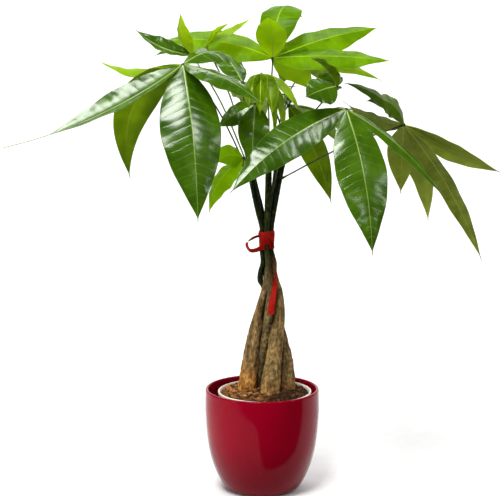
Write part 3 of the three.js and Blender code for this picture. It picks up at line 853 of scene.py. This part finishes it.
# Where the rounds start and end in front, which is the middle of the lowest round's gap
ROUND_START_X = 7.7
GATHER_PLACES = 26
LOOP_PLACES = 60
TAIL_PLACES = 90
LOOP_WIDTHS = (7, 7, 7, 7, 8, 8, 8)
TAIL_WIDTHS = (8, 7, 6, 6.5, 8.5, 10, 10)


def cloth_strip(path, across, widths, run_start, cup=0.0):
    """A thin closed strip along a path. Each place has a direction across and a width."""
    path = np.array(path, float)
    along = directions(path)
    columns = np.linspace(-0.5, 0.5, 9)
    lengths = run_lengths(path)
    points, run, cross = [], [], []
    for k, centre in enumerate(path):
        side = unit(np.array(across[k], float) - along[k] * np.dot(across[k], along[k]))
        face = np.cross(along[k], side)
        for sign, order in ((1, columns), (-1, columns[::-1])):
            for u in order:
                ripple = 0.12 * math.sin(lengths[k] * 0.9 + u * 5) + cup * (1 - 4 * u * u)
                rim = 1 - 0.75 * smoothstep(0.42, 0.5, abs(u))
                lift = sign * CLOTH_THICKNESS / 2 * rim + ripple
                points.append(centre + side * u * widths[k] + face * lift)
                run.append(run_start + lengths[k])
                cross.append(u * RIBBON_WIDTH)
    return points, ring_faces(len(path), 2 * len(columns)), run, cross, run_start + lengths[-1]


def round_stems(count, room):
    """A closed line round the tied stems, like a tight loop."""
    centres = [course_at(course, TIED_HEIGHT)[:2] for course in STEMS.values()]
    outline = []
    for angle in round_angles(720):
        way = np.array([math.cos(angle), math.sin(angle)])
        furthest = max(centres, key=lambda c: float(np.dot(c, way)))
        outline.append(furthest + way * (TIED_STEM_RADIUS + room))
    closed = np.vstack([outline, outline[:1]])
    steps = run_lengths(closed)
    places = np.linspace(0, steps[-1], count)
    return np.stack([np.interp(places, steps, closed[:, 0]), np.interp(places, steps, closed[:, 1])], 1)


def make_ribbon(material):
    """The tied ribbon as one piece, and the length of its cloth."""
    strips = []

    def add(path, across, widths, cup=0.0):
        run_start = strips[-1][4] if strips else 0.0
        strips.append(cloth_strip(path, across, widths, run_start, cup))

    def spread(widths, count):
        return np.interp(np.linspace(0, len(widths) - 1, count), range(len(widths)), widths)

    line = round_stems(ROUND_PLACES, 0.75)
    start = int(np.argmin(line[:, 1] + np.abs(line[:, 0] - ROUND_START_X) * 0.6))
    front_y = float(line[:, 1].min())
    for level, room, opened in ROUNDS:
        line = round_stems(ROUND_PLACES, room)
        line = np.vstack([line[start:-1], line[:start + 1]])
        line = line[opened:len(line) - opened]
        heights = level + 0.5 * np.sin(np.linspace(0, 4 * math.pi, len(line)))
        add(np.column_stack([line, heights]), [(0, 0, 1)] * len(line), [RIBBON_WIDTH] * len(line), 0.25)
    gather = smooth_path(
        [(-3.2, front_y + 2.6, 396), (-1.2, front_y - 0.9, 392.5), (0.6, front_y - 2.6, 386),
         (0.8, front_y - 2.8, 378), (-0.4, front_y - 1.2, 371.5)], GATHER_PLACES)
    widths = [9.5 - 3.2 * math.sin(math.pi * k / (GATHER_PLACES - 1)) for k in range(GATHER_PLACES)]
    add(gather, [(1, 0.18, 0)] * GATHER_PLACES, widths, -0.7)
    loop = smooth_path(
        [(-2, -9, 391), (-10, -12, 390), (-20, -13, 384), (-23, -13, 378), (-18, -14, 370), (-8, -15, 371),
         (2, -14, 377)], LOOP_PLACES)
    across = smooth_path(
        [(0, -0.8, 0.6), (0, -0.7, 0.7), (0.3, -0.7, 0.75), (0.6, -0.7, 0), (0.2, -0.6, 0.7), (0, -0.4, 0.9),
         (0, -0.3, 1)], LOOP_PLACES)
    add(loop, across, spread(LOOP_WIDTHS, LOOP_PLACES))
    tail = smooth_path(
        [(14.5, -8.5, 384), (18.2, -6.5, 374), (19, -7.4, 356), (20.4, -9.4, 336), (18, -18, 312),
         (14.5, -25, 292), (12.5, -28, 276)], TAIL_PLACES)
    across = smooth_path(
        [(0.2, -1, 0), (0, -1, 0), (0, -1, 0), (0.3, -1, 0), (0.9, -0.6, 0), (1, -0.3, 0),
         (1, -0.1, 0)], TAIL_PLACES)
    add(tail, across, spread(TAIL_WIDTHS, TAIL_PLACES))
    points, faces, runs, crosses = [], [], [], []
    for strip in strips:
        faces += shifted_faces(strip[1], len(points))
        points += strip[0]
        runs += strip[2]
        crosses += strip[3]
    piece = mesh_piece("tied_ribbon", points, faces, [material], numbers={"run": runs, "cross": crosses})
    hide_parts("ribbon")
    return piece, strips[-1][4]


# Leaves: each row is a leaflet, as x, y and z of its tip from the hub, its width, rise and roll

# Some rows go on with a fold of their own, and the share of the length that is thin drip tip
LEAVES = {
    "leaf_01": {
        "stem": 5, "height": 478, "via": [[-68, -26, 585]],
        "hub": [-114, -70, 649], "fold": 14, "look": "mature",
        "leaflets": [
            [-254, -50, -114, 45, -15, -30, -25, 0.23], [-80, 40, -170, 54, 43, 62],
            [23, -90, -215, 88, 20, 0], [113, -60, -52, 50, 10, 12], [92, 50, -18, 50, 26, 20],
            [-129, 70, 2, 40, -13, 30],
        ],
    },
    "leaf_02": {
        "stem": 5, "height": 490, "via": [[-62, 6, 590]],
        "hub": [-103, -16, 660], "fold": -20, "look": "young",
        "leaflets": [
            [-82, -6, 37, 33, -8, -36], [-56, 30, -3, 26, 4, 0], [-15, -14, 62, 30, -10, 0],
        ],
    },
    "leaf_03": {
        "stem": 5, "height": 498, "via": [[-48, -10, 600]],
        "hub": [-82, -14, 672], "fold": -24, "look": "young",
        "leaflets": [
            [33, -8, 34, 22, 2, 20], [64, 12, 40, 24, -4, 20],
        ],
    },
    "leaf_04": {
        "stem": 5, "height": 466, "via": [[-28, -24, 493]],
        "hub": [-28, -34, 510], "fold": 12, "look": "bright",
        "leaflets": [
            [-50, -16, -78, 46, 12, -20], [-40, -20, -4, 40, 8, -54], [-38, 56, -66, 34, 8, 0],
        ],
    },
    "leaf_05": {
        "stem": 4, "height": 443, "via": [[17, -17, 470], [28, -30, 545], [14, -20, 600]],
        "hub": [15, 0, 654], "fold": 12, "look": "bright",
        "leaflets": [
            [-172, 30, 21, 62, 14, -38], [47, 100, 54, 62, 49, 4], [-8, -56, 62, 46, 16, 0],
            [160, 60, 42, 62, 6, 34], [173, -40, -2, 60, 5, 28], [166, 60, -38, 44, 12, -23],
            [60, 60, -54, 42, 10, -40],
        ],
    },
    "leaf_06": {
        "stem": 4, "height": 528, "via": [[8, -24, 590]],
        "hub": [-2, -48, 634], "fold": -40, "look": "young",
        "leaflets": [
            [-18, -26, -48, 18, 8, 0], [-2, -34, -56, 22, 10, 0], [15, -34, -58, 24, 10, 0],
            [56, -22, -53, 18, 4, 20], [31, -14, -88, 18, 8, 20], [18, -14, -93, 15, 6, 0],
        ],
    },
    "leaf_07": {
        "stem": 4, "height": 512, "via": [[-2, -36, 560]],
        "hub": [-10, -40, 590], "fold": 12, "look": "mature",
        "leaflets": [
            [-5, -44, -88, 46, 12, 0], [-55, -8, -33, 40, 3, -44],
        ],
    },
    "leaf_08": {
        "stem": 2, "height": 506, "via": [[60, -36, 560]],
        "hub": [107, -50, 617], "fold": 10, "look": "mature",
        "leaflets": [
            [-37, -22, 41, 28, 6, -16, -34], [-47, -50, -12, 48, 2, -46], [-10, 44, -18, 26, 6, 0],
            [-19, 60, 13, 36, 8, 0],
        ],
    },
    "leaf_09": {
        "stem": 2, "height": 498, "via": [[76, -30, 545]],
        "hub": [121, -48, 583], "fold": 12, "look": "mature",
        "leaflets": [
            [35, -80, -201, 77, 18, 8], [-168, -96, -110, 58, 15, -50], [150, 24, -136, 28, 12, 34],
            [-30, 90, -40, 46, 16, 0], [40, 104, -88, 44, 18, 0],
        ],
    },
    "leaf_10": {
        "stem": 2, "height": 474, "via": [[120, 10, 522]],
        "hub": [211, 20, 554], "fold": 12, "look": "olive",
        "leaflets": [
            [-92, -20, 64, 30, 13, -36], [-90, 20, 34, 42, -8, 40, 12, 0.1], [2, 60, -112, 46, 14, 0],
            [48, 90, -161, 44, 22, 0], [129, 60, -217, 36, 12, -30], [154, 50, -78, 32, -4, -56],
            [-58, -12, 36, 46, 17, -40],
        ],
    },
    "leaf_11": {
        "stem": 3, "height": 512, "via": [[28, 50, 560]],
        "hub": [40, 62, 580], "fold": 12, "look": "mature",
        "leaflets": [
            [67, 26, -154, 42, 8, -64], [-24, 50, 10, 36, 10, 0], [82, 100, -72, 50, 16, 0],
            [94, 58, -58, 46, 16, 0],
        ],
    },
    "leaf_12": {
        "stem": 1, "height": 500, "via": [[-26, 70, 566]],
        "hub": [-30, 120, 610], "fold": 12, "look": "mature",
        "leaflets": [
            [-48, 90, 62, 46, 4, 0], [34, 150, -80, 46, 10, 0], [46, 110, -40, 46, 10, 0],
            [88, 60, -12, 40, 0, 0], [8, 120, -40, 44, 0, 0],
        ],
    },
    "leaf_13": {
        "stem": 3, "height": 522, "via": [[40, 46, 598]],
        "hub": [72, 130, 632], "fold": 12, "look": "mature",
        "leaflets": [
            [-40, 130, -40, 54, 24, 0], [34, 150, -46, 58, 26, 0], [84, 110, 8, 52, 16, 0],
            [-56, 56, 34, 44, 10, 0], [42, 84, 42, 46, 10, 0],
        ],
    },
}


# How light each leaflet's colour is, for leaves where it isn't just that of their look
# Partly painted light: the third leaflet of leaf_05, seen from below, has the lightest tone, standing in for
# light shining through it.
LEAF_TONES = {
    "leaf_01": [0.35, 0.5, 0.3, 0.35, 0.4, 0.8],
    "leaf_05": [0.18, 0.0, 1.0, 0.16, 0.26, 0.4, 0.3],
    "leaf_06": [0.12, 0.15, 0.2, 0.25, 0.1, 0.15],
    "leaf_09": [0.45, 0.3, 0.5, 0.4, 0.4],
    "leaf_10": [0.4, 0.5, 0.55, 0.7, 0.2, 0.95, 0.5],
}
LOOK_TONES = {"mature": 0.4, "bright": 0.7, "young": 0.6, "olive": 0.35}
# Leaflets that look older or younger than the rest of their leaf
LEAFLET_LOOKS = {
    "leaf_01": ["mature", "mature", "mature", "mature", "mature", "bright"],
    "leaf_02": ["mature", "mature", "young"],
}

# Where the points across half a leaflet lie, as shares of the half width
WIDE_COLUMNS = [0.012, 0.03, 0.07, 0.14, 0.24, 0.36, 0.49, 0.62, 0.74, 0.85, 0.93, 0.975]
NARROW_COLUMNS = [0.02, 0.06, 0.15, 0.3, 0.47, 0.64, 0.8, 0.93]
WIDE_LEAFLET = 34
SIDE_VEIN_SPACING = 14
# Least and most rings along a leaflet, which otherwise has one every 2 mm
BLADE_RINGS = (46, 140)
DRIP_TIP = 0.02
# How fast a leaflet widens from its foot and narrows to its tip
BLADE_FOOT = 0.85
BLADE_TIP = 1.15
BLADE_VALUES = ("along", "from_rib", "from_edge", "vein")
STALK_SIDES = 14
STALK_PLACES = 64
# How far beyond the hub the rings of a stalk's rounded end lie, and their share of its radius there
STALK_END = ((0.9, 0.93), (1.7, 0.74), (2.3, 0.46), (2.7, 0.1))


def blade_share(place, drip):
    """How wide a leaflet is at a share of its length, with 1 at its widest. The drip tip is thin."""
    t = min(place / (1 - drip), 1)
    widest = BLADE_FOOT / (BLADE_FOOT + BLADE_TIP)
    full = widest ** BLADE_FOOT * (1 - widest) ** BLADE_TIP
    return t ** BLADE_FOOT * (1 - t) ** BLADE_TIP / full


def make_blade(hub, leaflet, leaf_fold, seed, tone):
    """Points, faces, face sides and values of one leaflet: veined, rippled and arched, thin at its margin."""
    dx, dy, dz, width, rise, roll = leaflet[:6]
    fold = math.radians(leaflet[6] if len(leaflet) > 6 else leaf_fold)
    drip = leaflet[7] if len(leaflet) > 7 else DRIP_TIP
    root = np.array(hub, float)
    tip = root + np.array([dx, dy, dz], float)
    length = np.linalg.norm(tip - root)
    chord = (tip - root) / length
    up = unit(np.array([0, 0, 1.0]) - chord * chord[2])
    crest = (root + tip) / 2 + up * 2 * rise
    level = np.cross(chord, up)
    wide = width >= WIDE_LEAFLET
    shares = np.linspace(0, 1, int(np.clip(length / 2, *BLADE_RINGS)))
    shares = shares - 0.035 * np.sin(2 * math.pi * shares)
    half_columns = WIDE_COLUMNS if wide else NARROW_COLUMNS
    across = np.array([-1.0, *[-c for c in reversed(half_columns)], 0.0, *half_columns, 1.0])
    u = np.abs(across)
    count = len(across)
    side_veins = max(7, round(length / SIDE_VEIN_SPACING))
    points, values = [], {key: [] for key in BLADE_VALUES}
    for t in shares:
        middle = (1 - t) ** 2 * root + 2 * t * (1 - t) * crest + t * t * tip
        tangent = unit((1 - t) * (crest - root) + t * (tip - crest))
        side = turned(level, tangent, math.radians(roll))
        normal = unit(np.cross(side, tangent))
        least = 3.0 if t < 0.5 else 1.5 - 0.7 * smoothstep(0.98, 1.0, t)
        half = max(least, width * blade_share(t, drip)) / 2
        droop = -half * math.tan(fold) * u ** 1.38
        vein = side_veins * (t - 0.28 * u * half / length - 0.012 * u * u)
        calm = smoothstep(0.03, 0.18, u) * (1 - smoothstep(0.82, 1.0, u)) * smoothstep(0.02, 0.12, t)
        calm = calm * (1 - smoothstep(0.82, 0.97, t))
        uneven = 0.75 + 0.5 * hash_noise(vein * 0.9 + across * 2.3, across * 1.7 + seed, seed)
        ripple = np.abs(np.sin(math.pi * vein)) - 0.6
        ripple = ripple * calm * uneven * min(1.0, half / 22) * 0.3
        edge_wave = np.sin(2 * math.pi * (t * 4.3 + seed * 0.37 + (across > 0) * 0.4))
        edge_wave = edge_wave * smoothstep(0.45, 1, u) * min(1.1, (half / 16) ** 1.3)
        edge_wave = edge_wave * smoothstep(0.05, 0.25, t)
        sway = np.sin(2 * math.pi * (t * 1.6 + seed * 0.21)) * np.sign(across) * u ** 2 * min(0.6, half / 30)
        lift = droop + ripple + edge_wave + sway
        thick = (0.32 + 1.5 * math.exp(-t / 0.03)) * (1 - u ** 6 * 0.9)
        rib = 0.62 * (1 - t) ** 0.55 * (1 - smoothstep(0.0, 0.045 if wide else 0.08, u))
        line = middle + np.outer(across * half, side)
        top = line + np.outer(lift + thick + 0.35 * rib, normal)
        bottom = line + np.outer(lift - thick - rib, normal)
        points += [*top, *bottom[::-1]]
        for key, row in zip(BLADE_VALUES, (np.full(count, t), u * half, (1 - u) * half, vein)):
            values[key] += [*row, *row[::-1]]
    faces = ring_faces(len(shares), 2 * count)
    sides = ([0] * (count - 1) + [1] * (count + 1)) * (len(shares) - 1) + [1, 0]
    values["tone"] = [tone] * len(points)
    return points, faces, sides, values


def stalk_path(leaf):
    """The course of a leaf's stalk from its stem to the hub, and its radius at each place."""
    x, y, _ = course_at(STEMS[f"stem_{leaf['stem']}"], leaf["height"])
    path = smooth_path([(x, y, leaf["height"]), *leaf["via"], leaf["hub"]], STALK_PLACES)
    out = unit(path[-1] - path[-2])
    end = run_lengths(path)[-1]
    path = np.vstack([path, [path[-1] + out * distance for distance, _ in STALK_END]])
    run = run_lengths(path)
    radii = 1.18 + 0.75 * np.exp(-(((run - 6) / 5) ** 2)) + 1.55 * np.exp(-(((run - end) / 3.4) ** 2))
    radii[STALK_PLACES:] = np.array([share for _, share in STALK_END]) * radii[STALK_PLACES - 1]
    return path, radii


def make_leaf(name, number, tops, unders, stalks):
    """A whole leaf: stalk with its swollen ends, the joint, and its leaflets."""
    leaf = LEAVES[name]
    looks = LEAFLET_LOOKS.get(name, [leaf["look"]] * len(leaf["leaflets"]))
    order = sorted(set(looks))
    tones = LEAF_TONES.get(name, [LOOK_TONES[look] for look in looks])
    points, faces, slots = [], [], []
    values = {key: [] for key in (*BLADE_VALUES, "tone")}
    for k, leaflet in enumerate(leaf["leaflets"]):
        blade = make_blade(leaf["hub"], leaflet, leaf["fold"], number * 3.1 + k * 1.7, tones[k])
        faces += shifted_faces(blade[1], len(points))
        points += blade[0]
        slots += [side + 2 * order.index(looks[k]) for side in blade[2]]
        for key in values:
            values[key] += blade[3][key]
    path, radii = stalk_path(leaf)
    stalk_faces = ring_faces(len(path), STALK_SIDES, len(points))
    faces += stalk_faces
    points += tube_rings(path, radii, STALK_SIDES, (0.2, 0.9, 0.1))
    slots += [2 * len(order)] * len(stalk_faces)
    for key in values:
        values[key] += [0.0] * (len(path) * STALK_SIDES)
    materials = [face[look] for look in order for face in (tops, unders)]
    materials.append(stalks["young" if leaf["look"] == "young" else "mature"])
    piece = mesh_piece(f"{name}_blades", points, faces, materials, slots, values)
    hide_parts(name)
    return piece


# Putting it together

glaze = glaze_material()
cream = nursery_material()
earth = soil_material("potting_mix", (0.020, 0.010, 0.006), (0.26, 0.105, 0.03), 160.0)
chip = soil_material("bark_chip", (0.030, 0.014, 0.008), (0.56, 0.245, 0.075), 220.0)
coir = soil_material("coir_fibre", (0.040, 0.018, 0.009), (0.50, 0.25, 0.08), 260.0)
red_cloth = ribbon_material()
# The stems' bark colours differ partly in their own colour and partly as painted light: the left stem is
# painted lighter where the light falls, the middle and back stems darker as shade.
BARKS = {
    "stem_1": bark_material(
        "bark_left", foot=(0.80, 0.365, 0.080), middle=(0.36, 0.228, 0.087),
        skin=(0.006, 0.012, 0.003), streak=(0.040, 0.055, 0.008), foot_height=0.178,
    ),
    "stem_2": bark_material(
        "bark_front", foot=(0.56, 0.260, 0.060), middle=(0.385, 0.247, 0.092),
        skin=(0.005, 0.010, 0.003), streak=(0.035, 0.050, 0.008), foot_height=0.150,
    ),
    "stem_3": bark_material(
        "bark_right", foot=(0.52, 0.230, 0.060), middle=(0.30, 0.190, 0.074),
        skin=(0.005, 0.010, 0.003), streak=(0.030, 0.042, 0.007), foot_height=0.145,
    ),
    "stem_4": bark_material(
        "bark_middle", foot=(0.30, 0.165, 0.050), middle=(0.26, 0.185, 0.075),
        skin=(0.006, 0.012, 0.003), streak=(0.045, 0.065, 0.010), foot_height=0.140,
    ),
    "stem_5": bark_material(
        "bark_back", foot=(0.34, 0.170, 0.050), middle=(0.24, 0.165, 0.070),
        skin=(0.005, 0.011, 0.003), streak=(0.032, 0.048, 0.008), foot_height=0.145,
        green_from=(0.318, 0.350),
    ),
}
TOPS = {
    "mature": leaf_face(
        "leaf_top", deep=(0.014, 0.052, 0.0004), light=(0.086, 0.200, 0.0006),
        rib_colour=(0.300, 0.420, 0.090), vein_share=0.12,
        through=(0.30, 0.55, 0.004), through_share=0.14, roughness=0.16, mirror=0.5,
    ),
    "bright": leaf_face(
        "bright_leaf_top", deep=(0.032, 0.100, 0.0004), light=(0.225, 0.430, 0.0008),
        rib_colour=(0.400, 0.580, 0.030), vein_share=0.26,
        through=(0.70, 0.95, 0.006), through_share=0.42, roughness=0.28, mirror=0.09,
    ),
    "young": leaf_face(
        "young_leaf_top", deep=(0.045, 0.095, 0.0006), light=(0.400, 0.580, 0.002),
        rib_colour=(0.480, 0.660, 0.040), vein_share=0.2,
        through=(0.70, 0.95, 0.008), through_share=0.36, roughness=0.28, mirror=0.25,
    ),
    "olive": leaf_face(
        "olive_leaf_top", deep=(0.026, 0.064, 0.0008), light=(0.105, 0.195, 0.003),
        rib_colour=(0.230, 0.320, 0.050), vein_share=0.14,
        through=(0.30, 0.50, 0.010), through_share=0.16, roughness=0.3, mirror=0.3,
    ),
}
UNDERS = {
    "mature": leaf_face(
        "leaf_underside", deep=(0.095, 0.165, 0.0008), light=(0.290, 0.440, 0.001),
        rib_colour=(0.330, 0.440, 0.030), vein_share=0.2,
        through=(0.50, 0.80, 0.004), through_share=0.3, roughness=0.5, mirror=0.15,
    ),
    # The light end of this underside is partly its own pale colour and partly painted light, made very light
    # to stand in for light shining through the leaflet.
    "bright": leaf_face(
        "bright_leaf_underside", deep=(0.180, 0.290, 0.0008), light=(0.620, 0.860, 0.002),
        rib_colour=(0.430, 0.580, 0.030), vein_share=0.3,
        through=(0.75, 0.98, 0.006), through_share=0.5, roughness=0.45, mirror=0.15,
    ),
    "young": leaf_face(
        "young_leaf_underside", deep=(0.200, 0.330, 0.0008), light=(0.500, 0.680, 0.002),
        rib_colour=(0.560, 0.720, 0.040), vein_share=0.2,
        through=(0.80, 0.98, 0.008), through_share=0.45, roughness=0.45, mirror=0.15,
    ),
    # This underside's colours are partly its own olive and partly painted light, made lighter to stand in for
    # light bounced up from the floor in front.
    "olive": leaf_face(
        "olive_leaf_underside", deep=(0.150, 0.190, 0.014), light=(0.460, 0.560, 0.060),
        rib_colour=(0.480, 0.560, 0.080), vein_share=0.32,
        through=(0.40, 0.55, 0.010), through_share=0.22, roughness=0.58, mirror=0.15,
    ),
}
STALKS = {
    "mature": leaf_stalk_material("leaf_stalk", (0.022, 0.028, 0.006), (0.075, 0.095, 0.012)),
    "young": leaf_stalk_material("young_leaf_stalk", (0.090, 0.160, 0.006), (0.220, 0.340, 0.012)),
}

pieces = [(make_pot(glaze), "glaze"), (make_nursery_pot(cream), "nursery")]
pieces += [(make_soil(earth), "soil"), (make_chips(chip), "soil"), (make_fibres(coir), "soil")]
for stem_number, stem_name in enumerate(STEMS, 1):
    pieces.append((make_stem(stem_name, stem_number, BARKS[stem_name]), "bark"))
for leaf_number, leaf_name in enumerate(LEAVES, 1):
    finish = "young_leaf" if LEAVES[leaf_name]["look"] == "young" else "leaf"
    pieces.append((make_leaf(leaf_name, leaf_number, TOPS, UNDERS, STALKS), finish))
ribbon, ribbon_length = make_ribbon(red_cloth)
pieces.append((ribbon, "ribbon"))
for piece, finish in pieces:
    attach(piece, "root")


# Studio: a pale floor that curves up into a backdrop, soft lights and the camera

PAPER_DROP = 0.4
CURVE_RADIUS = 900
CURVE_START = 2600
# Name, place, what it points at, size and power of each soft light
LIGHTS = (
    ("key_softbox", (-0.50, -1.26, 2.53), (-0.1, -0.07, 0.6), (0.8, 1.0), 66),
    ("right_softbox", (1.26, -1.23, 2.04), (0.1, -0.07, 0.57), (0.5, 0.5), 13),
    ("left_softbox", (-0.95, 0.17, 2.53), (0, 0, 0.55), (0.4, 0.4), 7),
    ("low_softbox", (-1.7, -1.2, 0.9), (0, 0, 0.3), (0.4, 0.8), 12),
    ("front_softbox", (0.46, -1.93, 1.14), (0.14, -0.1, 0.42), (0.25, 0.25), 2),
    ("side_softbox", (1.9, -0.8, 1.1), (0, 0, 0.4), (0.2, 0.6), 4),
    ("backdrop_light", (0.0, 1.3, 2.6), (0, 3.4, 0.3), (3.0, 0.8), 105),
)
CAMERA_PLACE = (-0.0183, -2.56, 0.812)
CAMERA_DIP = 9.77


def make_backdrop():
    """Pale paper with its front edge just before the pot, which curves up behind the plant."""
    material, tree, surface, _ = new_material("pale_paper")
    uneven = placed_group(tree, UNEVEN, Size=3.0, Stretch=1.0)
    share = step_of(tree, uneven["Grain"], 0.3, 0.7)
    colour = blend_of(tree, share, (0.86, 0.86, 0.86), (0.89, 0.89, 0.89))
    set_surface(tree, surface, colour, 0.9, Specular_IOR_Level=0.1)
    bumped(tree, surface, uneven["Grain"], 0.05, 0.001)
    curve = [
        (CURVE_START + CURVE_RADIUS * math.sin(a), CURVE_RADIUS - CURVE_RADIUS * math.cos(a))
        for a in np.linspace(0, math.pi / 2, 14)
    ]
    outline = [(1000, 0), *curve, (CURVE_START + CURVE_RADIUS, 4200)]
    front = [(-4200, -1450), (-130, -440), (-45, -340), (10, -125), (400, -75), (4200, -75)]
    points = [(x, y, -PAPER_DROP) for x, y in front]
    points += [(x, y, z - PAPER_DROP) for y, z in outline for x, _ in front]
    across = len(front)
    faces = [[a, a + 1, a + 1 + across, a + across]
             for a in range(across * len(outline)) if a % across < across - 1]
    backdrop = mesh_piece("paper_sweep", points, faces, [material])


def add_light(name, place, aim, size, power):
    """A soft rectangular light that points at a place."""
    data = bpy.data.lights.new(name, "AREA")
    data.shape = "RECTANGLE"
    data.size, data.size_y = size
    data.energy = power
    light = bpy.data.objects.new(name, data)
    light.location = place
    light.rotation_euler = (Vector(aim) - Vector(place)).to_track_quat("-Z", "Y").to_euler()
    bpy.context.scene.collection.objects.link(light)


make_backdrop()
for light_values in LIGHTS:
    add_light(*light_values)

world = bpy.data.worlds.new("studio")
world.use_nodes = True
world.node_tree.nodes["Background"].inputs["Color"].default_value = (1, 1, 1, 1)
world.node_tree.nodes["Background"].inputs["Strength"].default_value = 0.05
bpy.context.scene.world = world
bpy.context.scene.view_settings.view_transform = "Standard"

camera_data = bpy.data.cameras.new("camera")
camera_data.sensor_fit = "HORIZONTAL"
camera_data.sensor_width = 36
camera_data.lens = 125
camera_data.clip_end = 50
camera = bpy.data.objects.new("camera", camera_data)
camera.location = CAMERA_PLACE
camera.rotation_euler = (math.radians(90 - CAMERA_DIP), 0, 0)
bpy.context.scene.collection.objects.link(camera)
bpy.context.scene.camera = camera
